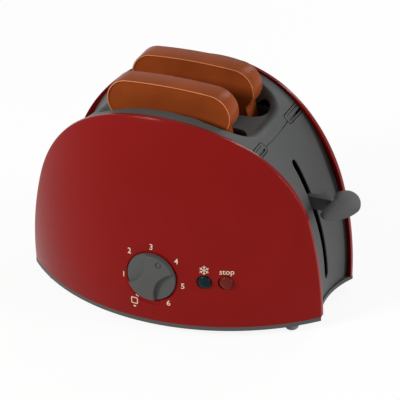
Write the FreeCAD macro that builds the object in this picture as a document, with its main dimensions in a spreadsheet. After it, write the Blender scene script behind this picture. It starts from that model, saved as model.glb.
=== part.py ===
import FreeCAD, Part
import math
import os
import types
import Sketcher
from FreeCAD import Placement, Rotation, Vector

# Toy toaster. +X is the lever end, -Y the front, +Z up, z = 0 the floor. It is modelled about the middle
# of its body, and its files are written about the middle of the whole. Lengths are in millimetres.

SIZES = {
    # outline of the two bowed panels, seen from the front
    "body_length": 190.0,
    "arch_height": 125.0,
    "arch_top_share": 0.5605,  # radii as shares of the body's length
    "arch_shoulder_share": 0.4279,
    "arch_side_share": 1.25,
    "arch_side_centre": 4.5,
    # their bow: a barrel about an upright axis
    "barrel_depth": 67.3,
    "barrel_plan_radius": 132.4,
    "barrel_rise_radius": 277.5,
    "barrel_waist": 16.4,
    "panel_wall": 2.6,
    "panel_edge_round": 1.0,
    # grey band between the panels
    "band_wall": 2.2,
    "band_side_inset": 3.5,
    "band_top_inset": 1.0,
    "end_wall_inset": 6.8,
    "valley_path_radius": 160.5,
    "valley_path_rise": 8.4,
    "valley_radius": 85.0,
    "seam_place": 56.0,
    "seam_gap": 0.15,
    # base
    "foot_height": 5.4,
    "foot_diameter": 8.6,
    "foot_round": 2.6,
    "foot_end_inset": 16.5,
    "foot_edge_inset": 8.4,
    "foot_plug_diameter": 4.0,
    "base_thickness": 2.6,
    "base_end_lip": 0.6,
    # well and slots
    "well_depth": 18.0,
    "well_half_length": 45.5,
    "well_half_width": 29.5,
    "well_corner": 22.0,
    "well_left_end": 47.0,
    "well_left_corner": 14.0,
    "well_draft": 16.0,
    "well_foot_round": 4.0,
    "slot_right_end": 43.5,
    "slot_left_end": 44.8,
    "slot_width": 19.5,
    "slot_place": 18.0,
    "slot_corner": 9.0,
    "slot_left_corner": 4.0,
    "liner_wall": 1.2,
    "liner_bottom": 24.0,
    # clip pockets beside the seam
    "clip_half_width": 3.6,
    "clip_inner_end": 17.0,
    "clip_window_width": 1.6,
    "clip_window_inner_end": 19.5,
    "snap_gap": 0.15,
    "snap_sunk": 1.0,
    "snap_bracket": 1.6,
    "snap_reach": 3.4,
    # toast
    "toast_height": 82.0,
    "toast_thickness": 13.0,
    "toast_half_crown": 40.0,
    "toast_lobe_radius": 14.0,
    "toast_crown_radius": 330.0,
    "toast_half_neck": 35.2,
    "toast_neck_height": 56.5,
    "toast_half_body": 37.4,
    "toast_foot_round": 5.0,
    "toast_rim": 1.1,
    "toast_recess": 0.6,
    "toast_offset": 3.0,
    # carriage, rod and spring
    "lift_up": 19.0,
    "lift_down": 45.0,
    "shelf_top": 62.0,
    "shelf_height": 4.0,
    "shelf_width": 5.0,
    "rod_diameter": 4.0,
    "rod_boss_depth": 15.0,
    "rod_socket": 8.0,
    "block_width": 12.0,
    "block_depth": 16.0,
    "block_height": 20.0,
    "bar_half_length": 24.0,
    "spring_wire": 0.9,
    "spring_coil_diameter": 7.2,
    "spring_turns": 11.0,
    "spring_seat_depth": 12.0,
    "lever_slot_width": 4.0,
    "lever_slot_gap": 0.3,
    "lever_slot_low": 18.5,
    "lever_slot_high": 95.6,
    "lever_tab_bottom": 66.8,
    "lever_tab_height": 7.5,
    "lever_reach": 9.1,
    "lever_half_length": 11.4,
    "lever_half_width": 16.3,
    "lever_end_radius": 9.0,
    "lever_thickness": 3.0,
    "lever_tilt": 9.0,
    "lever_socket_width": 6.4,
    # dial
    "dial_x": 2.75,
    "dial_height": 30.5,
    "dial_diameter": 30.8,
    "dial_thickness": 5.8,
    "dial_dome": 1.0,
    "dial_recess_diameter": 32.4,
    "dial_waist": 5.0,
    "dial_scoop_radius": 17.4,
    "dial_scoop_depth": 3.4,
    "dial_pointer_turn": 29.5,
    "dial_mark_place": 12.2,
    "dial_mark_diameter": 3.6,
    "dial_shaft_diameter": 6.0,
    "click_wheel_diameter": 16.0,
    # buttons
    "button_height": 31.0,
    "defrost_x": 34.7,
    "stop_x": 47.0,
    "button_diameter": 8.4,
    "button_dome": 1.8,
    "button_cap_length": 4.0,
    "button_bore_depth": 9.0,
    "button_stem_diameter": 4.0,
    # latch
    "latch_pivot_y": 33.0,
    "latch_pivot_z": 28.0,
    "latch_pin_diameter": 2.0,
    "latch_width": 8.0,
    # screws
    "screw_shank": 2.4,
    "screw_head": 4.6,
    "screw_head_height": 1.3,
    "screw_length": 9.0,
    "panel_screw_x": 60.0,
    "end_screw_y": 14.0,
    # clearances
    "static_gap": 0.05,
    "running_gap": 0.05,
    "moving_gap": 0.35,
}

doc = FreeCAD.newDocument("ToyToaster")
sheet = doc.addObject("Spreadsheet::Sheet", "Sizes")
for row, (alias, number) in enumerate(SIZES.items(), start=1):
    sheet.set(f"A{row}", alias)
    sheet.set(f"B{row}", str(number))
    sheet.setAlias(f"B{row}", alias)
doc.recompute()


class Size:
    """A length with both its value and the sheet formula that gives it."""

    def __init__(self, value, formula):
        self.value = value
        self.formula = formula

    def joined(self, other, sign, value):
        return Size(value, f"({self.formula} {sign} {sized(other).formula})")

    def __add__(self, other):
        return self.joined(other, "+", self.value + sized(other).value)

    def __sub__(self, other):
        return self.joined(other, "-", self.value - sized(other).value)

    def __mul__(self, other):
        return self.joined(other, "*", self.value * sized(other).value)

    def __truediv__(self, other):
        return self.joined(other, "/", self.value / sized(other).value)

    def __radd__(self, other):
        return sized(other) + self

    def __rsub__(self, other):
        return sized(other) - self

    def __rmul__(self, other):
        return sized(other) * self

    def __neg__(self):
        return sized(0) - self


def sized(number):
    """A Size from a Size or a plain number."""
    return number if isinstance(number, Size) else Size(float(number), f"{number:g}")


def root(size):
    """The square root of a Size."""
    return Size(math.sqrt(size.value), f"sqrt({size.formula})")


def dome_radius(half, rise):
    """Radius of a dome of a given half width and rise."""
    return (half * half + rise * rise) / (rise * 2)


dim = types.SimpleNamespace(**{alias: Size(sheet.get(alias), f"Sizes.{alias}") for alias in SIZES})

DECK = dim.foot_height + dim.base_thickness  # top of the base plate, where the panels stand
AXIS_Y = dim.barrel_plan_radius - dim.barrel_depth  # the front panel's barrel axis, behind the middle
BIG = sized(400)
WALL_X = dim.body_length / 2 - dim.end_wall_inset  # how far out the middle of an end wall comes
VALLEY_BACK = dim.valley_path_radius - WALL_X
ARCH_TOP = dim.body_length * dim.arch_top_share


# --- sketches and features ---------------------------------------------------------------------


def bind(thing, prop, size):
    """Sets a property from the sheet."""
    thing.setExpression(prop, sized(size).formula)


def new_body(label, at=(0, 0, 0), turn=Rotation()):
    """An empty body, placed at a point given as three Sizes."""
    body = doc.addObject("PartDesign::Body", label)
    body.Label = label
    base = [sized(c) for c in at]
    body.Placement = Placement(Vector(*[c.value for c in base]), turn)
    for letter, c in zip("xyz", base):
        bind(body, f"Placement.Base.{letter}", c)
    return body


def sketch_on(body, role, lift=0):
    """An empty sketch on one of the body's own origin planes, lifted along that plane's normal."""
    plane = next(f for f in body.Origin.OriginFeatures if f.Role == role)
    sketch = body.newObject("Sketcher::SketchObject", "Sketch")
    sketch.AttachmentSupport = (plane, [""])
    sketch.MapMode = "FlatFace"
    sketch.AttachmentOffset = Placement(Vector(0, 0, sized(lift).value), Rotation())
    bind(sketch, "AttachmentOffset.Base.z", lift)
    return sketch


def hold(sketch, *constraint, size):
    """Adds a dimension to a sketch and binds it to the sheet."""
    index = sketch.addConstraint(Sketcher.Constraint(*constraint, sized(size).value))
    sketch.setExpression(f"Constraints[{index}]", sized(size).formula)


def arc_between(start, end, radius):
    """The shorter arc from start to end; a positive radius turns left, a negative one right."""
    chord = end - start
    left = Vector(-chord.y, chord.x, 0).normalize()
    reach = math.sqrt(max(radius**2 - (chord.Length / 2) ** 2, 0))
    centre = (start + end) / 2 + left * math.copysign(reach, radius)
    first, last = (start, end) if radius > 0 else (end, start)
    angles = [math.atan2(p.y - centre.y, p.x - centre.x) for p in (first, last)]
    if angles[1] < angles[0]:
        angles[1] += 2 * math.pi
    circle = Part.Circle(centre, Vector(0, 0, 1), abs(radius))
    return Part.ArcOfCircle(circle, *angles)


def add_profile(sketch, corners):
    """A closed line through corners (x, y) or (x, y, radius of the arc that leaves this corner)."""
    places = [Vector(sized(c[0]).value, sized(c[1]).value, 0) for c in corners]
    ends = []
    for corner, start, end in zip(corners, places, places[1:] + places[:1]):
        if len(corner) == 3:
            radius = sized(corner[2])
            edge = sketch.addGeometry(arc_between(start, end, radius.value))
            hold(sketch, "Radius", edge, size=radius if radius.value > 0 else -radius)
            ends.append((edge, 1, 2) if radius.value > 0 else (edge, 2, 1))
        else:
            ends.append((sketch.addGeometry(Part.LineSegment(start, end)), 1, 2))
    for (edge, first, last), (after, after_first, _) in zip(ends, ends[1:] + ends[:1]):
        sketch.addConstraint(Sketcher.Constraint("Coincident", edge, last, after, after_first))
    for corner, (edge, first, _) in zip(corners, ends):
        hold(sketch, "DistanceX", edge, first, size=corner[0])
        hold(sketch, "DistanceY", edge, first, size=corner[1])


def add_circle(sketch, x, y, diameter):
    """A circle held by its centre and diameter."""
    at = Vector(sized(x).value, sized(y).value, 0)
    edge = sketch.addGeometry(Part.Circle(at, Vector(0, 0, 1), sized(diameter).value / 2))
    hold(sketch, "DistanceX", edge, 3, size=x)
    hold(sketch, "DistanceY", edge, 3, size=y)
    hold(sketch, "Diameter", edge, size=diameter)


def rectangle(left, right, low, high):
    return [(left, low), (right, low), (right, high), (left, high)]


def uneven(left, right, low, high, left_round, right_round):
    """A rectangle whose corners are rounded more at one end than at the other."""
    return [
        (left + left_round, low),
        (right - right_round, low, right_round),
        (right, low + right_round),
        (right, high - right_round, right_round),
        (right - right_round, high),
        (left + left_round, high, left_round),
        (left, high - left_round),
        (left, low + left_round, left_round),
    ]


def rounded(left, right, low, high, radius):
    """A rectangle with rounded corners."""
    return uneven(left, right, low, high, radius, radius)


def feature(body, kind, sketch, length=None, **options):
    """A pad or pocket of a sketch, checked to have added or removed material."""
    before = body.Shape.Volume if body.Tip else 0.0
    made = body.newObject(f"PartDesign::{kind}", kind)
    made.Profile = sketch
    if length is not None:
        bind(made, "Length", length)
    for name, value in options.items():
        setattr(made, name, value)
    sketch.Visibility = False
    doc.recompute()
    change = body.Shape.Volume - before
    grows = kind in ("Pad", "Revolution", "AdditiveHelix")
    if (change > 0) != grows or abs(change) < 1e-6:
        raise RuntimeError(f"{body.Label}: {kind} changed the volume by {change:.3f}")
    return made


def pad(body, role, corners, length, lift=0, **options):
    sketch = sketch_on(body, role, lift)
    add_profile(sketch, corners)
    return feature(body, "Pad", sketch, length, **options)


def pocket(body, role, corners, length=None, lift=0, **options):
    sketch = sketch_on(body, role, lift)
    add_profile(sketch, corners)
    if length is None:
        options["Type"] = "ThroughAll"
    return feature(body, "Pocket", sketch, length, **options)


def round_pad(body, role, circles, length, lift=0, **options):
    sketch = sketch_on(body, role, lift)
    for circle in circles:
        add_circle(sketch, *circle)
    return feature(body, "Pad", sketch, length, **options)


def round_pocket(body, role, circles, length=None, lift=0, **options):
    sketch = sketch_on(body, role, lift)
    for circle in circles:
        add_circle(sketch, *circle)
    if length is None:
        options["Type"] = "ThroughAll"
    return feature(body, "Pocket", sketch, length, **options)


def revolve(body, role, corners, angle=360.0, lift=0, axis="V_Axis"):
    sketch = sketch_on(body, role, lift)
    add_profile(sketch, corners)
    return feature(
        body, "Revolution", sketch, ReferenceAxis=(sketch, [axis]), Angle=angle, Midplane=angle < 360
    )


def soften(body, kind, size, chosen):
    """Fillets or chamfers the edges of a body that a test picks."""
    doc.recompute()
    tip = body.Tip
    names = [f"Edge{i}" for i, edge in enumerate(tip.Shape.Edges, start=1) if chosen(edge)]
    if not names:
        raise RuntimeError(f"{body.Label}: no edge to soften")
    made = body.newObject(f"PartDesign::{kind}", kind)
    made.Base = (tip, names)
    bind(made, "Radius" if kind == "Fillet" else "Size", size)
    doc.recompute()
    return made


def combined(label, kind, parts):
    """A boolean of several objects: the first less the others, all of them, or what they share."""
    if kind == "Cut":
        made = parts[0]
        for number, tool in enumerate(parts[1:], start=1):
            cut = doc.addObject("Part::Cut", f"{label}_cut_{number}")
            cut.Base = made
            cut.Tool = tool
            made = cut
    else:
        made = doc.addObject(f"Part::Multi{kind}", label)
        made.Shapes = parts
    made.Label = label
    doc.recompute()
    return made


def block(label, low, high):
    """A box between two corners, each given as three Sizes."""
    box = doc.addObject("Part::Box", label)
    for side, a, b, letter in zip(("Length", "Width", "Height"), low, high, "xyz"):
        bind(box, side, sized(b) - sized(a))
        bind(box, f"Placement.Base.{letter}", a)
    return box


def rod(label, at, diameter, length, axis="z"):
    """A cylinder that starts at a point and runs along an axis."""
    made = doc.addObject("Part::Cylinder", label)
    bind(made, "Radius", sized(diameter) / 2)
    bind(made, "Height", length)
    turns = {"z": Rotation(), "x": Rotation(Vector(0, 1, 0), 90), "y": Rotation(Vector(1, 0, 0), -90)}
    made.Placement = Placement(Vector(), turns[axis])
    for letter, c in zip("xyz", at):
        bind(made, f"Placement.Base.{letter}", c)
    return made


# --- shared forms ------------------------------------------------------------------------------


def barrel_radius(height, inward=0):
    """Distance of the bowed panel's face from its upright axis, at a height over the panel's foot."""
    rise = dim.barrel_rise_radius - inward
    over = sized(height) - dim.barrel_waist
    return dim.barrel_plan_radius - dim.barrel_rise_radius + root(rise * rise - over * over)


def face_y(x, height, inward=0):
    """How far in front of the middle the front panel's face lies, at x and a height over its foot."""
    r = barrel_radius(height, inward)
    return root(r * r - sized(x) * sized(x)) - AXIS_Y


def arch_geometry(half, height, top, shoulder, side, centre):
    """Centres of the side and shoulder arcs, and the points where the arcs meet."""
    side_at = Vector(half - math.sqrt(side**2 - centre**2), centre, 0)
    top_at = Vector(0, height - top, 0)
    apart = top_at - side_at
    one, two = side - shoulder, top - shoulder
    along = (one**2 - two**2 + apart.Length**2) / (2 * apart.Length)
    across = math.sqrt(one**2 - along**2)
    ahead = Vector(apart).normalize()
    shoulder_at = side_at + ahead * along + Vector(-ahead.y, ahead.x, 0) * across
    low = side_at + Vector(shoulder_at - side_at).normalize() * side
    high = top_at + Vector(shoulder_at - top_at).normalize() * top
    return side_at, shoulder_at, top_at, low, high


def add_arch(sketch, side_inset=0, top_inset=0):
    """The flat-bottomed arch of the body, or one inside it, drawn with five tangent arcs."""
    side_inset, top_inset = sized(side_inset), sized(top_inset)
    half = dim.body_length / 2 - side_inset
    height = dim.arch_height - top_inset
    top = ARCH_TOP - top_inset
    shoulder = dim.body_length * dim.arch_shoulder_share - (side_inset + top_inset) / 2
    side = dim.body_length * dim.arch_side_share - side_inset
    centre = dim.arch_side_centre
    sizes = [s.value for s in (half, height, top, shoulder, side, centre)]
    side_at, shoulder_at, top_at, low, high = arch_geometry(*sizes)
    foot = Vector(half.value, 0, 0)

    def flip(point):
        return Vector(-point.x, point.y, 0)

    def arc(at, radius, first, last):
        angles = [math.atan2(p.y - at.y, p.x - at.x) for p in (first, last)]
        angles = [a + 2 * math.pi if a < -1 else a for a in angles]
        return sketch.addGeometry(Part.ArcOfCircle(Part.Circle(at, Vector(0, 0, 1), radius), *angles))

    right = arc(side_at, side.value, foot, low)
    right_shoulder = arc(shoulder_at, shoulder.value, low, high)
    crown = arc(top_at, top.value, high, flip(high))
    left_shoulder = arc(flip(shoulder_at), shoulder.value, flip(high), flip(low))
    left = arc(flip(side_at), side.value, flip(low), flip(foot))
    bottom = sketch.addGeometry(Part.LineSegment(flip(foot), foot))
    path = [right, right_shoulder, crown, left_shoulder, left]
    for one, two in zip(path, path[1:]):
        sketch.addConstraint(Sketcher.Constraint("Tangent", one, 2, two, 1))
    sketch.addConstraint(Sketcher.Constraint("Coincident", left, 2, bottom, 1))
    sketch.addConstraint(Sketcher.Constraint("Coincident", bottom, 2, right, 1))
    for edge, size in zip(path, (side, shoulder, top, shoulder, side)):
        hold(sketch, "Radius", edge, size=size)
    hold(sketch, "DistanceX", right, 1, size=half)
    hold(sketch, "DistanceY", right, 1, size=0)
    hold(sketch, "DistanceX", left, 2, size=-half)
    hold(sketch, "DistanceY", left, 2, size=0)
    hold(sketch, "DistanceY", right, 3, size=centre)
    hold(sketch, "DistanceY", left, 3, size=centre)
    hold(sketch, "DistanceY", crown, 3, size=height - top)


def barrel_profile(inward, thickness, low, high):
    """Section through a bowed shell, in the plane of its upright axis, in front of that axis."""
    rise = dim.barrel_rise_radius - inward
    return [
        (-barrel_radius(low, inward), low, -rise),
        (-barrel_radius(high, inward), high),
        (-barrel_radius(high, inward + thickness), high, rise - thickness),
        (-barrel_radius(low, inward + thickness), low),
    ]


# --- red panels --------------------------------------------------------------------------------

PANEL_MARGIN = sized(3)
SWEEP = 130.0
SCREW_BOSS = dim.screw_shank + 4.6
PANEL_SCREW_Y = face_y(dim.panel_screw_x, 0, dim.panel_wall) - SCREW_BOSS / 2 + 1.0


def shell_body(label, front):
    """A bowed panel in the frame of its barrel axis."""
    turn = Rotation() if front else Rotation(Vector(0, 0, 1), 180)
    body = new_body(label, (0, AXIS_Y if front else -AXIS_Y, DECK), turn)
    top = dim.arch_height + PANEL_MARGIN
    revolve(body, "YZ_Plane", barrel_profile(sized(0), dim.panel_wall, -PANEL_MARGIN, top), SWEEP)
    around = sketch_on(body, "XZ_Plane")
    half = dim.body_length / 2 + 40
    add_profile(around, rectangle(-half, half, -PANEL_MARGIN - 2, top + 2))
    add_arch(around)
    feature(body, "Pocket", around, Type="ThroughAll", Midplane=True)
    return body


def soften_panel_edge(body):
    """Rounds the outer edge of a panel all along its arch."""

    def outer(edge):
        points = edge.discretize(5)
        on_face = all(abs(math.hypot(p.x, p.y) - barrel_radius(p.z).value) < 0.01 for p in points)
        return on_face and max(p.z for p in points) > 0.5

    soften(body, "Fillet", dim.panel_edge_round, outer)


def add_screw_bosses(body):
    """Two posts inside the panel's foot that take the base screws."""
    y = -(AXIS_Y + PANEL_SCREW_Y)
    places = [(-dim.panel_screw_x, y), (dim.panel_screw_x, y)]
    height = dim.screw_length + 3
    round_pad(body, "XY_Plane", [(*p, SCREW_BOSS) for p in places], height)
    bore = dim.screw_shank + 2 * dim.static_gap
    round_pocket(body, "XY_Plane", [(*p, bore) for p in places], height - 1.5, Reversed=True)


def at_depth(y):
    """Lift of a sketch on a panel's XZ plane so that it lies at y in front of the middle."""
    return AXIS_Y + y


DIAL_FLOOR = face_y(dim.dial_x + dim.dial_recess_diameter / 2, dim.dial_height) - 0.4
DIAL_BACK = DIAL_FLOOR - dim.panel_wall
SLEEVE_END = DIAL_BACK - 5
DIAL_BORE = dim.dial_shaft_diameter + 2 * dim.running_gap
POST_SPREAD = dim.click_wheel_diameter / 2 + 3
POST_DIAMETER = sized(3)
POST_RISE = dim.click_wheel_diameter / 2 + 2.6
WHEEL_THICKNESS = sized(3)
BUTTON_GUIDE = dim.button_diameter + 4.6
BUTTON_FLOOR = sized(2)


def button_front(x):
    """y of the panel's face in the middle of a button."""
    return face_y(x, dim.button_height)


def add_dial_seat(body):
    """Flat dial recess, its backing, the shaft sleeve and the two posts of the click spring."""
    x, z = dim.dial_x, dim.dial_height
    reach = dim.panel_wall + 1.2
    round_pad(
        body, "XZ_Plane", [(x, z, dim.dial_recess_diameter + 3)], reach - 1.2, lift=at_depth(DIAL_BACK)
    )
    round_pad(
        body, "XZ_Plane", [(x, z, dim.dial_shaft_diameter + 5)], reach + 4, lift=at_depth(SLEEVE_END)
    )
    posts = [(x + side * POST_SPREAD, z + POST_RISE, POST_DIAMETER) for side in (-1, 1)]
    end = SLEEVE_END - dim.moving_gap - WHEEL_THICKNESS
    round_pad(body, "XZ_Plane", posts, DIAL_BACK - end + 0.5, lift=at_depth(end))
    recess = [(x, z, dim.dial_recess_diameter)]
    round_pocket(body, "XZ_Plane", recess, 8, lift=at_depth(DIAL_FLOOR), Reversed=True)
    round_pocket(body, "XZ_Plane", [(x, z, DIAL_BORE)], 20, lift=at_depth(SLEEVE_END - 1), Reversed=True)


def add_button_guide(body, x):
    """Tube behind the panel in which a button slides, with a floor for its spring."""
    z, front = dim.button_height, button_front(x)
    bottom = front - dim.button_bore_depth
    start = bottom - BUTTON_FLOOR
    bore = dim.button_diameter + 2 * dim.moving_gap
    stem = dim.button_stem_diameter + 2 * dim.running_gap
    length = dim.button_bore_depth + BUTTON_FLOOR - dim.panel_wall - 1
    round_pad(body, "XZ_Plane", [(x, z, BUTTON_GUIDE)], length, lift=at_depth(start))
    round_pocket(body, "XZ_Plane", [(x, z, bore)], 20, lift=at_depth(bottom), Reversed=True)
    round_pocket(body, "XZ_Plane", [(x, z, stem)], 10, lift=at_depth(start - 1), Reversed=True)


def make_front_panel():
    body = shell_body("front_panel", True)
    soften_panel_edge(body)
    add_screw_bosses(body)
    add_dial_seat(body)
    for x in (dim.defrost_x, dim.stop_x):
        add_button_guide(body, x)
    return body


def make_rear_panel():
    body = shell_body("rear_panel", False)
    soften_panel_edge(body)
    add_screw_bosses(body)
    return body


# --- grey band: end walls and top cover --------------------------------------------------------


def arch_block(label, side_inset, top_inset):
    """Solid arch between the panels, before it is hollowed across."""
    body = new_body(label, (0, 0, DECK))
    sketch = sketch_on(body, "XZ_Plane")
    add_arch(sketch, side_inset, top_inset)
    feature(body, "Pad", sketch, dim.barrel_depth * 2, Midplane=True)
    return body


def valley(label, side, inward):
    """Ring that hollows an end of the band across, so that its middle lies deeper than its edges."""
    ring = doc.addObject("Part::Torus", label)
    bind(ring, "Radius1", dim.valley_path_radius + dim.valley_radius)
    bind(ring, "Radius2", dim.valley_radius + inward)
    ring.Placement = Placement(Vector(), Rotation(Vector(1, 0, 0), 90))
    bind(ring, "Placement.Base.x", VALLEY_BACK * -side)
    bind(ring, "Placement.Base.z", DECK + dim.valley_path_rise)
    return ring


def hollowed_arch(label, inward):
    """The arch with both ends hollowed, all its faces moved inward."""
    inward = sized(inward)
    arch = arch_block(f"{label}_arch", dim.band_side_inset + inward, dim.band_top_inset + inward)
    rings = [valley(f"{label}_valley_{n}", side, inward) for n, side in enumerate((-1, 1))]
    return combined(label, "Cut", [arch, *rings])


def between_panels(label, gap):
    """The two barrels whose overlap is the room between the panels."""
    made = []
    inward = dim.panel_wall + gap
    low, high = -PANEL_MARGIN, dim.arch_height + PANEL_MARGIN
    for number, side in enumerate((1, -1)):
        turn = Rotation() if side > 0 else Rotation(Vector(0, 0, 1), 180)
        body = new_body(f"{label}_{number}", (0, AXIS_Y * side, DECK), turn)
        rise = dim.barrel_rise_radius - inward
        corners = [
            (0, low),
            (0, high),
            (-barrel_radius(high, inward), high, rise),
            (-barrel_radius(low, inward), low),
        ]
        revolve(body, "YZ_Plane", corners)
        made.append(body)
    return made


WELL_FLOOR = DECK + dim.arch_height - dim.well_depth
ROD_X = dim.slot_right_end + dim.liner_wall + 0.8 + dim.block_width / 2
ROD_BOSS = dim.rod_diameter + 4
TOP_BOSS_END = WELL_FLOOR - dim.rod_boss_depth


def well_block(label, outward):
    """The oblong well as a solid with sloping sides and a rounded foot."""
    outward = sized(outward)
    body = new_body(label)
    width = dim.well_half_width + outward
    corners = uneven(
        -(dim.well_left_end + outward),
        dim.well_half_length + outward,
        -width,
        width,
        dim.well_left_corner + outward,
        dim.well_corner + outward,
    )
    lift = WELL_FLOOR - outward
    made = pad(body, "XY_Plane", corners, dim.well_depth + outward + 6, lift=lift)
    bind(made, "TaperAngle", dim.well_draft)
    doc.recompute()
    bottom = lift.value + 0.01
    soften(body, "Fillet", dim.well_foot_round, lambda e: max(v.Z for v in e.Vertexes) < bottom)
    return body


def slot_outline(side, outward):
    """A toast slot seen from above, moved outward by a distance."""
    centre, half = dim.slot_place * side, dim.slot_width / 2 + outward
    return uneven(
        -(dim.slot_left_end + outward),
        dim.slot_right_end + outward,
        centre - half,
        centre + half,
        dim.slot_left_corner + outward,
        dim.slot_corner + outward,
    )


SLOT_BELOW, SLOT_ABOVE = 5, 10  # how far a slot's cut runs past the floor of the well


def slot_block(label, side):
    """A toast slot as a solid that runs through the floor of the well and the foot of its wall."""
    body = new_body(label)
    pad(body, "XY_Plane", slot_outline(side, 0), SLOT_BELOW + SLOT_ABOVE, lift=WELL_FLOOR - SLOT_BELOW)
    return body


def paired_blocks(label, ends, near, far, low, high):
    """Upright blocks at the corners of the cover, given by distances from the middle along X and Y."""
    made = []
    for number, (sx, sy) in enumerate((sx, sy) for sx in ends for sy in (-1, 1)):
        xs = sorted((near * sx, far * sx), key=lambda size: size.value)
        ys = sorted((low * sy, high * sy), key=lambda size: size.value)
        corners = (xs[0], ys[0], CLIP_LOW), (xs[1], ys[1], CLIP_HIGH)
        made.append(block(f"{label}_{number}", *corners))
    return made


BOTH_ENDS = (-1, 1)
CLIP_LOW = WELL_FLOOR - 25
CLIP_HIGH = WELL_FLOOR + 25
SEAM_HEIGHT = dim.arch_height - ARCH_TOP + root(ARCH_TOP * ARCH_TOP - dim.seam_place * dim.seam_place)
WINDOW_EDGE = sized(0.6)
WINDOW_END = face_y(dim.seam_place + dim.clip_half_width, SEAM_HEIGHT, dim.panel_wall)


def clip_blocks(label, grow):
    """Blocks the size of the four tabs that straddle the seams, grown by a gap."""
    half = dim.clip_half_width + grow
    near, far = dim.seam_place - half, dim.seam_place + half
    return paired_blocks(label, BOTH_ENDS, near, far, dim.clip_inner_end - grow, dim.barrel_depth)


def clip_windows(label, ends, shrink):
    """Blocks the size of the narrow window in each tab, less a gap."""
    near = dim.seam_place + WINDOW_EDGE + shrink
    far = dim.seam_place + WINDOW_EDGE + dim.clip_window_width - shrink
    low = dim.clip_window_inner_end + shrink
    return paired_blocks(label, ends, near, far, low, WINDOW_END - shrink)


def make_band():
    """The grey strip that runs over the toaster between the panels, not yet divided, as nested forms."""
    under = dim.band_wall + dim.static_gap
    return types.SimpleNamespace(
        outer=hollowed_arch("band_outer", 0),
        inner=hollowed_arch("band_inner", dim.band_wall),
        sunk=hollowed_arch("band_sunk", dim.snap_sunk),
        under=hollowed_arch("band_under", under),
        deep=hollowed_arch("band_deep", under + dim.snap_bracket),
        room=between_panels("room", dim.static_gap),
    )


def make_top_cover(band):
    """Cover with the well and both slots; four tabs reach over the seam onto the end walls."""
    shell = combined("cover_shell", "Cut", [band.outer, band.inner])
    edge = dim.seam_place - dim.seam_gap / 2
    middle_block = block("cover_middle", (-edge, -BIG / 4, WELL_FLOOR - 55), (edge, BIG / 4, CLIP_HIGH))
    zone = combined("cover_zone", "Fuse", [middle_block, *clip_blocks("cover_tab", 0)])
    strip = combined("cover_strip", "Common", [shell, zone, *band.room])
    basin = well_block("basin", dim.band_wall)
    basin = combined("cover_basin", "Common", [basin, band.outer, *band.room])
    post = rod("cover_rod_post", (ROD_X, 0, TOP_BOSS_END), ROD_BOSS, dim.rod_boss_depth + 3)
    boss = combined("cover_rod_boss", "Common", [post, band.outer])
    boss_bore = rod(
        "cover_rod_bore",
        (ROD_X, 0, TOP_BOSS_END - 1),
        dim.rod_diameter + 2 * dim.static_gap,
        dim.rod_socket + 1,
    )
    whole = combined("cover_whole", "Fuse", [strip, basin, boss])
    slots = [slot_block(f"slot_{n}", side) for n, side in enumerate((-1, 1))]
    windows = clip_windows("cover_window", BOTH_ENDS, 0)
    tools = [well_block("well", 0), *slots, boss_bore, *windows]
    return combined("top_cover", "Cut", [whole, *tools])


END_BOSS = dim.screw_shank + 4.1
END_BOSS_X = WALL_X - dim.band_wall - 1.5


def snap_tongues(label, side, band):
    """Two tongues that rise into the windows of the cover's tabs, on brackets under those tabs."""
    low, high = dim.clip_window_inner_end + dim.snap_gap, WINDOW_END - dim.snap_gap
    tab_end = dim.seam_place + dim.clip_half_width + dim.seam_gap
    far = tab_end + dim.snap_reach
    shelves = paired_blocks(f"{label}_shelf", [side], dim.seam_place + WINDOW_EDGE / 2, far, low, high)
    roots = paired_blocks(f"{label}_root", [side], tab_end, far, low, high)
    noses = clip_windows(f"{label}_nose", [side], dim.snap_gap)
    made = []
    for name, form, blocks in (("brackets", band.under, shelves), ("tongues", band.sunk, roots + noses)):
        layer = combined(f"{label}_{name}_layer", "Cut", [form, band.deep])
        places = combined(f"{label}_{name}_places", "Fuse", blocks)
        made.append(combined(f"{label}_{name}", "Common", [layer, places, *band.room]))
    return made


def make_end_wall(label, side, band):
    """Hollowed end wall with two screw posts and snap tongues; the lever end also has the long slot."""
    shell = combined(f"{label}_shell", "Cut", [band.outer, band.inner])
    near, far = dim.seam_place + dim.seam_gap / 2, dim.body_length / 2 + 5
    xs = (near, far) if side > 0 else (-far, -near)
    zone = block(f"{label}_zone", (xs[0], -BIG / 4, 0), (xs[1], BIG / 4, CLIP_HIGH))
    strip = combined(f"{label}_strip", "Common", [shell, zone, *band.room])
    notched = combined(f"{label}_notched", "Cut", [strip, *clip_blocks(f"{label}_notch", dim.seam_gap)])
    posts, bores = [], []
    hole = dim.screw_shank + 2 * dim.static_gap
    for n, across in enumerate((-dim.end_screw_y, dim.end_screw_y)):
        foot = (END_BOSS_X * side, across, DECK)
        posts.append(rod(f"{label}_post_{n}", foot, END_BOSS, dim.screw_length + 2))
        below = (END_BOSS_X * side, across, DECK - 1)
        bores.append(rod(f"{label}_bore_{n}", below, hole, dim.screw_length + 1.5))
    whole = combined(f"{label}_whole", "Fuse", [notched, *posts, *snap_tongues(label, side, band)])
    tools = [*bores, lever_slot()] if side > 0 else bores
    return combined(label, "Cut", [whole, *tools])


def lever_slot():
    """The upright slot in the lever end, cut straight through along X."""
    body = new_body("lever_slot")
    half = dim.lever_slot_width / 2
    corners = rounded(-half, half, dim.lever_slot_low, dim.lever_slot_high, half - 0.1)
    pad(body, "YZ_Plane", corners, 60, lift=dim.seam_place)
    return body


# --- base --------------------------------------------------------------------------------------

ROD_SEAT = DECK + 3
EAR_THICKNESS = sized(1.8)
EAR_HALF_WIDTH = sized(2.3)
SCREW_RECESS = dim.screw_head_height + 0.1


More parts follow.
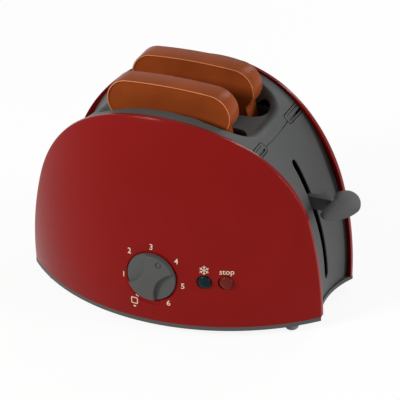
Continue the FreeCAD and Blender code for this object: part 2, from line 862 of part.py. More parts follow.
def screw_places():
    """Where the base screws go: two in each panel and two in each end wall."""
    panel = [(dim.panel_screw_x * sx, PANEL_SCREW_Y * sy) for sx in (-1, 1) for sy in (-1, 1)]
    ends = [(END_BOSS_X * sx, dim.end_screw_y * sy) for sx in (-1, 1) for sy in (-1, 1)]
    return panel + ends


def foot_places():
    """Where the feet go: near the corners of the base, in from its ends and its bowed edges."""
    x = dim.body_length / 2 - dim.foot_end_inset
    y = face_y(x, 0) - dim.foot_edge_inset
    return [(x * sx, y * sy) for sx in (-1, 1) for sy in (-1, 1)]


def make_base_plate():
    body = new_body("base_plate")
    half, corner, bow = dim.body_length / 2, face_y(dim.body_length / 2, 0), barrel_radius(0)
    hollow = -dome_radius(corner, dim.end_wall_inset - dim.base_end_lip)
    outline = [
        (-half, -corner, bow),
        (half, -corner, hollow),
        (half, corner, bow),
        (-half, corner, hollow),
    ]
    pad(body, "XY_Plane", outline, dim.base_thickness, lift=dim.foot_height)
    seat = [(ROD_X, 0, dim.spring_coil_diameter + dim.spring_wire + 2)]
    round_pad(body, "XY_Plane", seat, ROD_SEAT - dim.foot_height, lift=dim.foot_height)
    ear_y, ear_top = dim.latch_pivot_y, dim.latch_pivot_z + EAR_HALF_WIDTH
    for start in latch_ears():
        ear = rectangle(-ear_y - EAR_HALF_WIDTH, -ear_y + EAR_HALF_WIDTH, DECK - 1, ear_top)
        pad(body, "YZ_Plane", ear, EAR_THICKNESS, lift=start)
    pin = [(-ear_y, dim.latch_pivot_z, dim.latch_pin_diameter + 2 * dim.static_gap)]
    round_pocket(body, "YZ_Plane", pin, Midplane=True)
    rod_bore = [(ROD_X, 0, dim.rod_diameter + 2 * dim.static_gap)]
    round_pocket(body, "XY_Plane", rod_bore, 30, lift=DECK - 1.6, Reversed=True)
    shanks = [(*p, dim.screw_shank + 4 * dim.static_gap) for p in screw_places()]
    plugs = [(*p, dim.foot_plug_diameter + 2 * dim.static_gap) for p in foot_places()]
    round_pocket(body, "XY_Plane", shanks + plugs, Midplane=True)
    heads = [(*p, dim.screw_head + 8 * dim.static_gap) for p in screw_places()]
    round_pocket(body, "XY_Plane", heads, SCREW_RECESS, lift=dim.foot_height, Reversed=True)
    return body


def latch_ears():
    """x at which each of the two ears of the latch starts."""
    clear = dim.latch_width / 2 + 0.2
    return dim.stop_x - clear - EAR_THICKNESS, dim.stop_x + clear


def group(label, bodies):
    """Several like solids kept in one node."""
    made = doc.addObject("Part::Compound", label)
    made.Label = label
    made.Links = bodies
    doc.recompute()
    return made


def make_feet():
    """Four plug-in feet with rounded ends."""
    made = []
    radius, plug, curve = dim.foot_diameter / 2, dim.foot_plug_diameter / 2, dim.foot_round
    top = dim.foot_height
    for number, (x, y) in enumerate(foot_places()):
        body = new_body(f"foot_{number}", (x, y, 0))
        corners = [
            (0, 0),
            (radius - curve, 0, curve),
            (radius, curve),
            (radius, top),
            (plug, top),
            (plug, top + dim.base_thickness),
            (0, top + dim.base_thickness),
        ]
        revolve(body, "XZ_Plane", corners)
        made.append(body)
    return group("feet", made)


def make_screws():
    """Eight pan-head screws that hold the base to the panels and the end walls."""
    made = []
    head, shank = dim.screw_head / 2, dim.screw_shank / 2
    for number, (x, y) in enumerate(screw_places()):
        body = new_body(f"base_screw_{number}", (x, y, dim.foot_height + 0.1))
        tip = dim.screw_head_height + dim.screw_length
        corners = [
            (0, 0),
            (head - 0.6, 0, 0.8),
            (head, 0.6),
            (head, dim.screw_head_height),
            (shank, dim.screw_head_height),
            (shank, tip - 1.2),
            (0, tip),
        ]
        revolve(body, "XZ_Plane", corners)
        made.append(body)
    return group("base_screws", made)


# --- toast path --------------------------------------------------------------------------------

COVER_UNDERSIDE = WELL_FLOOR - dim.band_wall


def make_liner(label, side):
    """Sleeve under one slot that keeps a slice upright; its lever end is open for the shelf."""
    body = new_body(label)
    height = COVER_UNDERSIDE - dim.liner_bottom
    pad(body, "XY_Plane", slot_outline(side, dim.liner_wall), height, lift=dim.liner_bottom)
    pocket(body, "XY_Plane", slot_outline(side, 0), lift=dim.liner_bottom, Midplane=True)
    centre, gap = dim.slot_place * side, dim.shelf_width / 2 + 0.6
    slit = rectangle(centre - gap, centre + gap, dim.liner_bottom - 1, dim.shelf_top + dim.lift_up + 2)
    pocket(body, "YZ_Plane", slit, 20, lift=dim.slot_right_end - 8, Reversed=True)
    return body


LOBE_END_X = 0.1  # where a lobe's arc hands over to the crown, as shares of the lobe's radius
LOBE_END_Z = 0.995


def toast_corners(inset):
    """A slice's outline moved inward by a distance: foot, waist, two lobes and a crowned top."""
    low = sized(inset)
    body, foot = dim.toast_half_body - low, dim.toast_foot_round
    lobe = dim.toast_lobe_radius - low
    lobe_x = dim.toast_half_crown - dim.toast_lobe_radius
    half_top = lobe_x + dim.toast_lobe_radius * LOBE_END_X
    crown_rise = half_top * half_top / (dim.toast_crown_radius * 2)
    lobe_z = dim.toast_height - crown_rise - dim.toast_lobe_radius * LOBE_END_Z
    neck_x = dim.toast_half_neck - low
    reach = neck_x - lobe_x
    neck_z = lobe_z - root(lobe * lobe - reach * reach)
    shoulder = dim.toast_neck_height - 9
    crown_x, crown_z = lobe_x + lobe * LOBE_END_X, lobe_z + lobe * LOBE_END_Z
    return [
        (-body + foot, low),
        (body - foot, low, foot),
        (body, low + foot),
        (body, shoulder),
        (neck_x, neck_z, lobe),
        (lobe_x + lobe, lobe_z, lobe),
        (crown_x, crown_z, dim.toast_crown_radius - low),
        (-crown_x, crown_z, lobe),
        (-lobe_x - lobe, lobe_z, lobe),
        (-neck_x, neck_z),
        (-body, shoulder),
        (-body, low + foot, foot),
    ]


def make_toast(label, side):
    """A slice of toast with a thin raised rim around both faces."""
    body = new_body(label, (-dim.toast_offset, dim.slot_place * side, dim.shelf_top))
    pad(body, "XZ_Plane", toast_corners(0), dim.toast_thickness, Midplane=True)
    face = dim.toast_thickness / 2 - dim.toast_recess
    pocket(body, "XZ_Plane", toast_corners(dim.toast_rim), 10, lift=face, Reversed=True)
    pocket(body, "XZ_Plane", toast_corners(dim.toast_rim), 10, lift=-face)
    return body


# --- carriage, lever, rod and spring -----------------------------------------------------------

BLOCK_BOTTOM = dim.shelf_top - dim.shelf_height
SPRING_TOP = BLOCK_BOTTOM + dim.spring_seat_depth
BAR_X = dim.slot_right_end + dim.liner_wall + 1.0
TAB_THICKNESS = dim.lever_slot_width - 2 * dim.lever_slot_gap
SOCKET_X = WALL_X + 0.5
PLATE_X = WALL_X + 1.0
LEVER_X = WALL_X + dim.lever_reach
TAB_END = SOCKET_X + 4.4


def make_carriage():
    """Sliding block, cross bar, two shelves and the tab that reaches through the slot."""
    body = new_body("carriage")
    half, depth = dim.block_width / 2, dim.block_depth / 2
    slider = rounded(ROD_X - half, ROD_X + half, -depth, depth, sized(2))
    pad(body, "XY_Plane", slider, dim.block_height, lift=BLOCK_BOTTOM)
    bar = rectangle(BAR_X, BAR_X + 5, -dim.bar_half_length, dim.bar_half_length)
    pad(body, "XY_Plane", bar, dim.shelf_height, lift=BLOCK_BOTTOM)
    start = dim.slot_right_end - 1.2
    for side in (-1, 1):
        low, high = dim.slot_place * side - dim.shelf_width / 2, dim.slot_place * side + dim.shelf_width / 2
        shelf = rectangle(-start, BAR_X + 1, low, high)
        pad(body, "XY_Plane", shelf, dim.shelf_height, lift=BLOCK_BOTTOM)
    tab = rectangle(
        ROD_X + 3,
        TAB_END - dim.static_gap,
        dim.lever_tab_bottom,
        dim.lever_tab_bottom + dim.lever_tab_height,
    )
    pad(body, "XZ_Plane", tab, TAB_THICKNESS, Midplane=True)
    bore = [(ROD_X, 0, dim.rod_diameter + 2 * dim.running_gap)]
    round_pocket(body, "XY_Plane", bore, Midplane=True)
    seat = [(ROD_X, 0, dim.spring_coil_diameter + dim.spring_wire + 2 * dim.moving_gap)]
    round_pocket(body, "XY_Plane", seat, dim.spring_seat_depth, lift=BLOCK_BOTTOM, Reversed=True)
    return body


def oval_corners():
    """The finger plate's outline: four tangent arcs, two small ones at its wide ends."""
    long, short, small = dim.lever_half_width, dim.lever_half_length, dim.lever_end_radius
    rise = long - small
    big = (short * short + rise * rise - small * small) / (2 * (short - small))
    meet_x = small * (big - short) / (big - small)
    meet_y = rise + small * rise / (big - small)
    return [
        (meet_x, -meet_y, big),
        (meet_x, meet_y, small),
        (-meet_x, meet_y, big),
        (-meet_x, -meet_y, small),
    ]


def make_lever():
    """Oval finger plate, tilted up at its tip, on a socket that takes the carriage's tab."""
    centre_z = dim.lever_tab_bottom + dim.lever_tab_height * 0.8
    turn = Rotation(Vector(0, 1, 0), -sheet.get("lever_tilt"))
    plate = new_body("lever_plate", (LEVER_X, 0, centre_z), turn)
    pad(plate, "XY_Plane", oval_corners(), dim.lever_thickness, lift=-dim.lever_thickness / 2)
    soften(plate, "Fillet", dim.lever_thickness / 2 - 0.15, lambda e: True)
    socket = new_body("lever_socket")
    low = dim.lever_tab_bottom - 1.1
    high = low + dim.lever_tab_height + 2.2
    wedge = [
        (SOCKET_X, low),
        (SOCKET_X + 6, low + 1.5),
        (SOCKET_X + 11, low + 5.6),
        (SOCKET_X + 11, low + 8),
        (SOCKET_X + 5, high),
        (SOCKET_X, high),
    ]
    pad(socket, "XZ_Plane", wedge, dim.lever_socket_width, Midplane=True)
    gap, thick = dim.static_gap, TAB_THICKNESS / 2
    tab_top = dim.lever_tab_bottom + dim.lever_tab_height
    hole = block(
        "lever_hole",
        (SOCKET_X - 1, -thick - gap, dim.lever_tab_bottom - gap),
        (TAB_END, thick + gap, tab_top + gap),
    )
    near_wall = block("lever_trim", (PLATE_X - 20, -BIG / 4, 0), (PLATE_X, BIG / 4, BIG / 4))
    trimmed = combined("lever_trimmed", "Cut", [plate, near_wall])
    whole = combined("lever_whole", "Fuse", [trimmed, socket])
    return combined("lever_paddle", "Cut", [whole, hole])


def make_guide_rod():
    low = DECK - 1.6
    body = new_body("guide_rod", (ROD_X, 0, low))
    length = TOP_BOSS_END + dim.rod_socket - 0.5 - low
    round_pad(body, "XY_Plane", [(0, 0, dim.rod_diameter)], length)
    soften(body, "Chamfer", 0.4, lambda e: len(e.Vertexes) == 1)
    return body


def coil(label, at, turn, wire, coil_diameter, length, turns):
    """A round-wire coil spring along its own Z axis."""
    body = new_body(label, at, turn)
    sketch = sketch_on(body, "XZ_Plane")
    add_circle(sketch, sized(coil_diameter) / 2, sized(wire) / 2, wire)
    made = body.newObject("PartDesign::AdditiveHelix", "Helix")
    made.Profile = sketch
    made.ReferenceAxis = (sketch, ["V_Axis"])
    made.Mode = "height-turns-angle"
    bind(made, "Height", sized(length) - wire)
    bind(made, "Turns", turns)
    sketch.Visibility = False
    doc.recompute()
    return body


def make_return_spring():
    at = (ROD_X, 0, ROD_SEAT + 0.02)
    length = SPRING_TOP - ROD_SEAT - 0.04
    return coil(
        "return_spring",
        at,
        Rotation(),
        dim.spring_wire,
        dim.spring_coil_diameter,
        length,
        dim.spring_turns,
    )


# --- dial --------------------------------------------------------------------------------------

FORWARD = Rotation(Vector(1, 0, 0), 90)  # turns a body's own Z axis to point out of the front
DIAL_LIFT = sized(0.4)
DIAL_EDGE = sized(0.9)  # round between the knob's side and its domed face
MARK_GROOVE = sized(0.6)


def make_dial():
    """Low domed knob with a waisted grip bar between two scoops, a ringed mark, and its shaft."""
    turn = FORWARD.multiply(Rotation(Vector(0, 0, 1), -sheet.get("dial_pointer_turn")))
    body = new_body("dial_knob", (dim.dial_x, -DIAL_FLOOR, DECK + dim.dial_height), turn)
    radius, top = dim.dial_diameter / 2, dim.dial_thickness
    face = radius - 0.3 - DIAL_EDGE
    corners = [
        (0, DIAL_LIFT),
        (radius - 0.6, DIAL_LIFT),
        (radius, DIAL_LIFT + 0.6),
        (radius - 0.3, top - dim.dial_dome - DIAL_EDGE, DIAL_EDGE + 0.1),
        (face, top - dim.dial_dome, dome_radius(face, dim.dial_dome)),
        (0, top),
    ]
    revolve(body, "XZ_Plane", corners)
    end = DIAL_FLOOR - SLEEVE_END + dim.moving_gap + WHEEL_THICKNESS + 2
    round_pad(body, "XY_Plane", [(0, 0, dim.dial_shaft_diameter)], end + 1, lift=-end)
    scoop = dim.dial_scoop_radius
    scoops = [(side * (scoop + dim.dial_waist), 0, scoop * 2) for side in (-1, 1)]
    round_pocket(body, "XY_Plane", scoops, 20, lift=top - dim.dial_scoop_depth, Reversed=True)
    wide = dim.dial_mark_diameter
    mark = [(0, dim.dial_mark_place, size) for size in (wide, wide - 2 * MARK_GROOVE)]
    round_pocket(body, "XY_Plane", mark, 20, lift=top - dim.dial_dome - 0.4, Reversed=True)
    return body


def make_click_wheel():
    """Scalloped wheel on the dial's shaft, under the click spring."""
    y = SLEEVE_END - dim.moving_gap
    body = new_body("click_wheel", (dim.dial_x, -y, DECK + dim.dial_height), FORWARD)
    round_pad(body, "XY_Plane", [(0, 0, dim.click_wheel_diameter)], WHEEL_THICKNESS, Reversed=True)
    bore = [(0, 0, dim.dial_shaft_diameter + 2 * dim.static_gap)]
    round_pocket(body, "XY_Plane", bore, Midplane=True)
    sketch = sketch_on(body, "XY_Plane")
    add_circle(sketch, 0, dim.click_wheel_diameter / 2 + 0.7, 3)
    notch = feature(body, "Pocket", sketch, Type="ThroughAll", Midplane=True)
    ring = body.newObject("PartDesign::PolarPattern", "Notches")
    ring.Originals = [notch]
    ring.Axis = (sketch, ["N_Axis"])
    ring.Angle = 360
    ring.Occurrences = 12
    body.Tip = ring
    doc.recompute()
    return body


def make_click_spring():
    """Flat strip under the two posts, whose nose rides over the click wheel."""
    nose = sized(1.6)
    underside = dim.click_wheel_diameter / 2 + 0.75
    body = new_body("click_spring", (dim.dial_x, -SLEEVE_END + dim.moving_gap, DECK + dim.dial_height))
    half = POST_SPREAD + 2.5
    top = POST_RISE - POST_DIAMETER / 2
    corners = [
        (-half, underside),
        (-nose, underside, 2.2),
        (nose, underside),
        (half, underside),
        (half, top),
        (-half, top),
    ]
    pad(body, "XZ_Plane", corners, WHEEL_THICKNESS - 0.6, lift=-WHEEL_THICKNESS)
    return body


def make_dial_retainer():
    """Push-on ring behind the click wheel."""
    y = SLEEVE_END - dim.moving_gap - WHEEL_THICKNESS
    body = new_body("dial_retainer", (dim.dial_x, -y, DECK + dim.dial_height), FORWARD)
    circles = [(0, 0, dim.dial_shaft_diameter + 4)]
    round_pad(body, "XY_Plane", circles, 1.4, Reversed=True)
    bore = [(0, 0, dim.dial_shaft_diameter + 2 * dim.static_gap)]
    round_pocket(body, "XY_Plane", bore, Midplane=True)
    return body


# --- buttons and latch -------------------------------------------------------------------------

STOP_OUT = sized(1.5)
STEM_HEAD = sized(1.2)


def make_button(label, x, out_travel, end):
    """Domed cap on a stem with a snap collar behind the guide's floor."""
    body = new_body(label, (x, -button_front(x), DECK + dim.button_height), FORWARD)
    cap, stem = dim.button_diameter / 2, dim.button_stem_diameter / 2
    floor_back = -(dim.button_bore_depth + BUTTON_FLOOR)
    collar = floor_back - out_travel - dim.moving_gap
    dome_foot = dim.button_dome - 1.5
    last = sized(end) if end is not None else -(collar - STEM_HEAD - 0.6)
    corners = [
        (0, -last),
        (stem, -last),
        (stem, collar - STEM_HEAD),
        (stem + 0.7, collar - STEM_HEAD),
        (stem + 0.7, collar),
        (stem, collar),
        (stem, -dim.button_cap_length),
        (cap, -dim.button_cap_length),
        (cap, dome_foot, dome_radius(cap, dim.button_dome - dome_foot)),
        (0, dim.button_dome),
    ]
    revolve(body, "XZ_Plane", corners)
    return body


def make_button_spring(label, x):
    length = dim.button_bore_depth - dim.button_cap_length - 0.04
    at = (x, -button_front(x) + dim.button_bore_depth - 0.02, DECK + dim.button_height)
    return coil(label, at, FORWARD, sized(0.5), dim.button_diameter - 2.2, length, sized(3.5))


def make_latch():
    """Pawl that catches the carriage's cross bar; its upper arm meets the stop button's stem."""
    body = new_body("latch_pawl")
    y, z = -dim.latch_pivot_y, dim.latch_pivot_z
    arm = sized(1.25)
    nose_low = dim.shelf_top - dim.lift_down - 0.7
    tip = -dim.bar_half_length - dim.moving_gap
    top = DECK + dim.button_height + 4
    corners = [
        (y - arm, nose_low),
        (tip, nose_low),
        (tip, nose_low + 1.4),
        (y + arm + 2.5, nose_low + 3.4),
        (y + arm, nose_low + 5),
        (y + arm, top - 1),
        (y + arm - 1, top),
        (y - arm + 1, top),
        (y - arm, top - 1),
    ]
    start = dim.stop_x - dim.latch_width / 2
    pad(body, "YZ_Plane", corners, dim.latch_width, lift=start)
    round_pad(body, "YZ_Plane", [(y, z, dim.latch_pin_diameter + 2.6)], dim.latch_width, lift=start)
    bore = [(y, z, dim.latch_pin_diameter + 2 * dim.running_gap)]
    round_pocket(body, "YZ_Plane", bore, Midplane=True)
    return body


def make_latch_pin():
    start, end = latch_ears()
    body = new_body("latch_pin", (start, -dim.latch_pivot_y, dim.latch_pivot_z))
    length = end + EAR_THICKNESS - start
    round_pad(body, "YZ_Plane", [(0, 0, dim.latch_pin_diameter)], length)
    return body


# --- assembly ----------------------------------------------------------------------------------


def make_all():
    band = make_band()
    latch_reach = dim.latch_pivot_y + 1.25 + 0.3
    return [
        make_front_panel(),
        make_rear_panel(),
        make_top_cover(band),
        make_end_wall("right_end_wall", 1, band),
        make_end_wall("left_end_wall", -1, band),
        make_base_plate(),
        make_feet(),
        make_screws(),
        make_liner("front_slot_liner", -1),
        make_liner("rear_slot_liner", 1),
        make_toast("front_toast", -1),
        make_toast("rear_toast", 1),
        make_carriage(),
        make_lever(),
        make_guide_rod(),
        make_return_spring(),
        make_dial(),
        make_click_wheel(),
        make_click_spring(),
        make_dial_retainer(),
        make_button("stop_button", dim.stop_x, STOP_OUT, button_front(dim.stop_x) - latch_reach),
        make_button("defrost_button", dim.defrost_x, 0, None),
        make_button_spring("stop_spring", dim.stop_x),
        make_button_spring("defrost_spring", dim.defrost_x),
        make_latch(),
        make_latch_pin(),
    ]


def check(nodes):
    """Stops the build if an object failed or a node has no valid solid."""
    for thing in doc.Objects:
        if {"Invalid", "Error"} & set(thing.State):
            raise RuntimeError(f"{thing.Label}: {thing.State}")
    for node in nodes:
        shape = node.Shape
        if shape.isNull() or not shape.isValid() or not shape.Solids:
            raise RuntimeError(f"{node.Label}: no valid solid")
        print(f"{node.Label}: {len(shape.Solids)} solids, {shape.Volume:.1f} mm3")


def export(nodes):
    """One STEP file for each node, with the origin under the middle of the whole, lever and dial too."""
    os.makedirs("parts", exist_ok=True)
    reach_x = (LEVER_X + dim.lever_half_length - dim.body_length / 2) / 2
    reach_y = (dim.barrel_depth - DIAL_FLOOR - dim.dial_thickness) / 2
    for node in nodes:
        shape = node.Shape.copy()
        shape.translate(Vector(-reach_x.value, -reach_y.value, 0))
        shape.exportStep(f"parts/{node.Label}.step")


doc.recompute()
NODES = make_all()
doc.recompute()
check(NODES)
export(NODES)
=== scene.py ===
import math

import bpy
from bpy.props import FloatProperty, FloatVectorProperty, PointerProperty
from mathutils import Matrix, Vector


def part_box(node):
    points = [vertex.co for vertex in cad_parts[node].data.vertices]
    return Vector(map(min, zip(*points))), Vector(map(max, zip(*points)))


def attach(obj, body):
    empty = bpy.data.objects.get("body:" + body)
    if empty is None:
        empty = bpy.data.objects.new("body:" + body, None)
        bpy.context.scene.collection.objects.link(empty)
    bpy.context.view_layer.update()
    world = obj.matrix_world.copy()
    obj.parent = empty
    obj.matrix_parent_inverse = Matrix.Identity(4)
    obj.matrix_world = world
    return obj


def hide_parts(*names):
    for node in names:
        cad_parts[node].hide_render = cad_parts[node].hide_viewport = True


bl_info = {
    "name": "Toy Toaster",
    "version": (1, 0, 0),
    "blender": (4, 5, 0),
    "location": "View3D > Sidebar > Toaster",
    "description": "Dresses the packed toy toaster with its moulded, printed and sprung pieces",
    "category": "Object",
}

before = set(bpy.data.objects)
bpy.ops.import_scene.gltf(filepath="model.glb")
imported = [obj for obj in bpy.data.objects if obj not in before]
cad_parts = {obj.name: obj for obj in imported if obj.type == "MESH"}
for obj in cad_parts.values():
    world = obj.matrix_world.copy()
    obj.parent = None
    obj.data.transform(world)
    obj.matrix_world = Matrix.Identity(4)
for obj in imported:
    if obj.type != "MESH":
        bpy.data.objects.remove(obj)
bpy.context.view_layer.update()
MM = 0.001
BASE_LOW, BASE_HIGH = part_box("base_plate")
MIDDLE = Vector(((BASE_LOW.x + BASE_HIGH.x) / 2, (BASE_LOW.y + BASE_HIGH.y) / 2, 0))
DECK = 8.0  # height of the panels' foot, in millimetres
BARREL_Y = 65.1  # distance of each bowed panel's upright axis from the middle


# --- sizes and colours that a user may change -----------------------


def length(name, description, default):
    return FloatProperty(name=name, description=description, default=default, min=0.01, unit="NONE")


def colour(name, description, default):
    return FloatVectorProperty(
        name=name, description=description, default=default, size=3, min=0, max=1, subtype="COLOR"
    )


class ToasterSizes(bpy.types.PropertyGroup):
    """Fine sizes of the moulded pieces, in millimetres."""

    panel_round: length("Panel edge", "Round along the outer rim of each red panel, mm", 0.6)
    inner_round: length("Panel inner edge", "Round along the inner rim of each red panel, mm", 0.45)
    cover_cell: length("Cover mesh", "Distance between points of the cover's mesh, mm", 0.9)
    well_slope: length("Well slope", "Width of the sloping wall round the well, mm", 6.6)
    groove_width: length("Groove width", "Width of the line round each clip, mm", 0.55)
    side_gap: length("Side gap", "Gap between the cover and each panel, mm", 0.4)
    toast_rim: length("Toast rim", "Width of the raised line round each slice, mm", 1.1)
    toast_recess: length("Toast recess", "Depth of the face inside that line, mm", 0.6)
    toast_round: length("Toast edge", "Round along the rim of each slice, mm", 0.3)
    numeral_height: length("Numerals", "Height of the printed numerals, mm", 3.6)
    print_lift: length("Print", "Thickness of the printed ink, mm", 0.05)


class ToasterColours(bpy.types.PropertyGroup):
    """Colours of the mouldings, the print and the painted highlight on the slices' rims."""

    red: colour("Panel red", "Glossy plastic of the two panels", (0.24, 0.006, 0.0055))
    grey: colour("Body grey", "Satin plastic of cover, ends, dial and lever", (0.088, 0.092, 0.09))
    black: colour("Inner black", "Matt plastic of the carriage and the liners", (0.012, 0.012, 0.012))
    toast: colour("Toast brown", "Plastic of the two slices", (0.3, 0.06, 0.013))
    # Painted highlight: the lighter colour of the strip along each slice's rim stands in for the
    # rounded edge catching light.
    crust: colour("Toast rim", "Lighter line along the rims of the slices", (0.78, 0.31, 0.14))
    ink: colour("Ink", "Cream ink of the numerals and signs", (0.84, 0.70, 0.54))
    stop: colour("Stop button", "Brownish red of the stop button", (0.14, 0.014, 0.008))
    defrost: colour("Defrost button", "Dark blue-green of the defrost button", (0.003, 0.014, 0.018))
    foot: colour("Foot rubber", "Dark grey of the feet", (0.045, 0.05, 0.05))
    steel: colour("Steel", "Screws, springs, pins and the guide rod", (0.42, 0.42, 0.43))
    floor: colour("Floor", "Floor and backdrop", (0.9, 0.9, 0.9))


def sizes():
    return bpy.context.scene.toaster_sizes


def colours():
    return bpy.context.scene.toaster_colours


# --- materials ------------------------------------------------------


def new_material(name):
    """A material and its shader, or None for the shader where the material is already made."""
    material = bpy.data.materials.get(name)
    if material:
        return material, None
    material = bpy.data.materials.new(name)
    material.use_nodes = True
    return material, material.node_tree.nodes["Principled BSDF"]


def link(material, source, socket, target, into):
    material.node_tree.links.new(source.outputs[socket], target.inputs[into])


def add_node(material, kind, **inputs):
    node = material.node_tree.nodes.new(kind)
    for name, value in inputs.items():
        node.inputs[name.replace("_", " ")].default_value = value
    return node


def object_noise(material, scale, detail, roughness=0.5):
    """A noise pattern fixed to the piece, so many cells to the metre."""
    where = material.node_tree.nodes.new("ShaderNodeTexCoord")
    noise = add_node(material, "ShaderNodeTexNoise", Scale=scale, Detail=detail, Roughness=roughness)
    link(material, where, "Object", noise, "Vector")
    return noise


def add_grain(material, shader, scale, strength, depth):
    """A fine moulded grain in the surface."""
    noise = object_noise(material, scale, 3)
    bump = add_node(material, "ShaderNodeBump", Strength=strength, Distance=depth)
    link(material, noise, "Fac", bump, "Height")
    link(material, bump, "Normal", shader, "Normal")


def add_tint(material, shader, base, scale, low, high):
    """Slight, wide variation of the base colour."""
    noise = object_noise(material, scale, 4)
    ramp = material.node_tree.nodes.new("ShaderNodeValToRGB")
    ramp.color_ramp.elements[0].position = 0.3
    ramp.color_ramp.elements[1].position = 0.7
    ramp.color_ramp.elements[0].color = (*[c * low for c in base], 1)
    ramp.color_ramp.elements[1].color = (*[min(c * high, 1) for c in base], 1)
    link(material, noise, "Fac", ramp, "Fac")
    link(material, ramp, "Color", shader, "Base Color")


def add_sheen_spread(material, shader, scale, low, high):
    """Roughness that wanders a little, as handled plastic does."""
    noise = object_noise(material, scale, 5, 0.6)
    spread = add_node(material, "ShaderNodeMapRange", To_Min=low, To_Max=high)
    link(material, noise, "Fac", spread, "Value")
    link(material, spread, "Result", shader, "Roughness")


# Each finish: its colour's name; tint as cells to the metre, lowest and highest share; sheen as one
# roughness or as cells to the metre, lowest and highest; grain as cells to the metre, strength, depth.
FINISHES = {
    "red_gloss_plastic": ("red", (14, 0.94, 1.06), (60, 0.14, 0.19), (2600, 0.05, 0.00004)),
    "grey_satin_plastic": ("grey", (22, 0.95, 1.05), (90, 0.46, 0.56), (3200, 0.18, 0.00006)),
    "inner_black_plastic": ("black", (30, 0.85, 1.15), (80, 0.5, 0.7), (2800, 0.2, 0.00006)),
    "toast_brown_plastic": ("toast", (45, 0.86, 1.14), (120, 0.28, 0.36), (1800, 0.12, 0.00008)),
    # The next finish is a painted highlight: a lighter strip standing in for light caught on the
    # slices' rounded rims.
    "toast_rim_plastic": ("crust", (90, 0.88, 1.1), 0.4, None),
    "cream_ink": ("ink", (400, 0.93, 1.04), 0.5, None),
    "defrost_dark_plastic": ("defrost", (160, 0.85, 1.15), 0.14, (2600, 0.05, 0.00004)),
    "stop_red_plastic": ("stop", (160, 0.85, 1.15), 0.14, (2600, 0.05, 0.00004)),
    "foot_rubber": ("foot", (120, 0.9, 1.1), 0.75, (2400, 0.3, 0.0001)),
    "drawn_steel": ("steel", (300, 0.92, 1.08), (500, 0.28, 0.4), None),
}
SPECIAL = {
    "red_gloss_plastic": {"Specular IOR Level": 0.1, "Specular Tint": (1.0, 0.8, 0.7, 1)},
    "grey_satin_plastic": {"Specular IOR Level": 0.16},
    "toast_brown_plastic": {"Specular IOR Level": 0.07, "Specular Tint": (1.0, 0.8, 0.6, 1)},
    # Specular level of the painted highlight strip on the slices' rims.
    "toast_rim_plastic": {"Specular IOR Level": 0.1},
    "defrost_dark_plastic": {"Specular IOR Level": 0.1},
    "stop_red_plastic": {"Specular IOR Level": 0.1},
    "drawn_steel": {"Metallic": 1},
}


def coat(name):
    """The material of one finish, made the first time that it is asked for."""
    material, shader = new_material(name)
    if shader:
        base, tint, sheen, grain = FINISHES[name]
        add_tint(material, shader, getattr(colours(), base), *tint)
        if isinstance(sheen, tuple):
            add_sheen_spread(material, shader, *sheen)
        else:
            shader.inputs["Roughness"].default_value = sheen
        if grain:
            add_grain(material, shader, *grain)
        for socket, value in SPECIAL.get(name, {}).items():
            shader.inputs[socket].default_value = value
    return material


# --- modelling helpers ----------------------------------------------


def at(x, y, z):
    """A place given in millimetres from the middle of the body and the floor."""
    return MIDDLE + Vector((x, y, z)) * MM


def to_object_mode():
    if bpy.context.object and bpy.context.object.mode != "OBJECT":
        bpy.ops.object.mode_set(mode="OBJECT")


def start():
    """Leaves edit mode and deselects everything."""
    to_object_mode()
    bpy.ops.object.select_all(action="DESELECT")


def pick(piece, *others):
    """Selects pieces alone, the first one active."""
    start()
    for each in (piece, *others):
        each.select_set(True)
    bpy.context.view_layer.objects.active = piece


def join(piece, *others):
    """Joins the other pieces to the first."""
    pick(piece, *others)
    bpy.ops.object.join()


def name_piece(name):
    piece = bpy.context.object
    piece.name = name
    piece.data.name = name
    return piece


def edit(piece, mode="VERT", action="DESELECT"):
    """Enters edit mode on one piece with nothing selected, or with all of it."""
    pick(piece)
    bpy.ops.object.mode_set(mode="EDIT")
    bpy.ops.mesh.select_mode(type=mode)
    bpy.ops.mesh.select_all(action=action)


def choose(piece, kind, test):
    """Selects those vertices, edges or polygons of the piece in edit mode that pass a test."""
    bpy.ops.mesh.select_all(action="DESELECT")
    bpy.ops.object.mode_set(mode="OBJECT")
    for element in getattr(piece.data, kind):
        element.select = bool(test(element))
    bpy.ops.object.mode_set(mode="EDIT")


def modify(piece, kind, **settings):
    """Adds a modifier and applies it."""
    pick(piece)
    modifier = piece.modifiers.new(kind.title(), kind)
    for setting, value in settings.items():
        setattr(modifier, setting, value)
    bpy.ops.object.modifier_apply(modifier=modifier.name)


def discard(piece):
    bpy.data.objects.remove(piece, do_unlink=True)


def carve(piece, cutter, operation="DIFFERENCE"):
    """Cuts or trims a piece with another, which is used up."""
    modify(piece, "BOOLEAN", object=cutter, operation=operation, solver="EXACT")
    discard(cutter)


def soften(piece, width, angle):
    """Rounds the edges sharper than an angle in degrees."""
    limit = math.radians(angle)
    modify(piece, "BEVEL", width=width * MM, segments=3, limit_method="ANGLE", angle_limit=limit)


def settle(piece):
    """Puts a piece's place, turn and size into its mesh."""
    pick(piece)
    bpy.ops.object.transform_apply(location=True, rotation=True, scale=True)


def face_out(piece):
    """Merges doubles and turns every face outwards."""
    edit(piece, action="SELECT")
    bpy.ops.mesh.remove_doubles(threshold=0.000004)
    bpy.ops.mesh.normals_make_consistent(inside=False)
    to_object_mode()


def finish_piece(piece, look, body, replaces=(), angle=40):
    """Shades, paints and mounts a finished piece."""
    pick(piece)
    bpy.ops.object.shade_smooth_by_angle(angle=math.radians(angle))
    piece.data.materials.clear()
    piece.data.materials.append(coat(look))
    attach(piece, body)
    if replaces:
        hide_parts(*replaces)
    start()


def ring(name, points):
    """A closed loop of edges drawn through points."""
    start()
    bpy.ops.mesh.primitive_circle_add(vertices=len(points), radius=0.01, fill_type="NOTHING")
    piece = name_piece(name)
    for vertex, point in zip(piece.data.vertices, points):
        vertex.co = point
    piece.location = (0, 0, 0)
    return piece


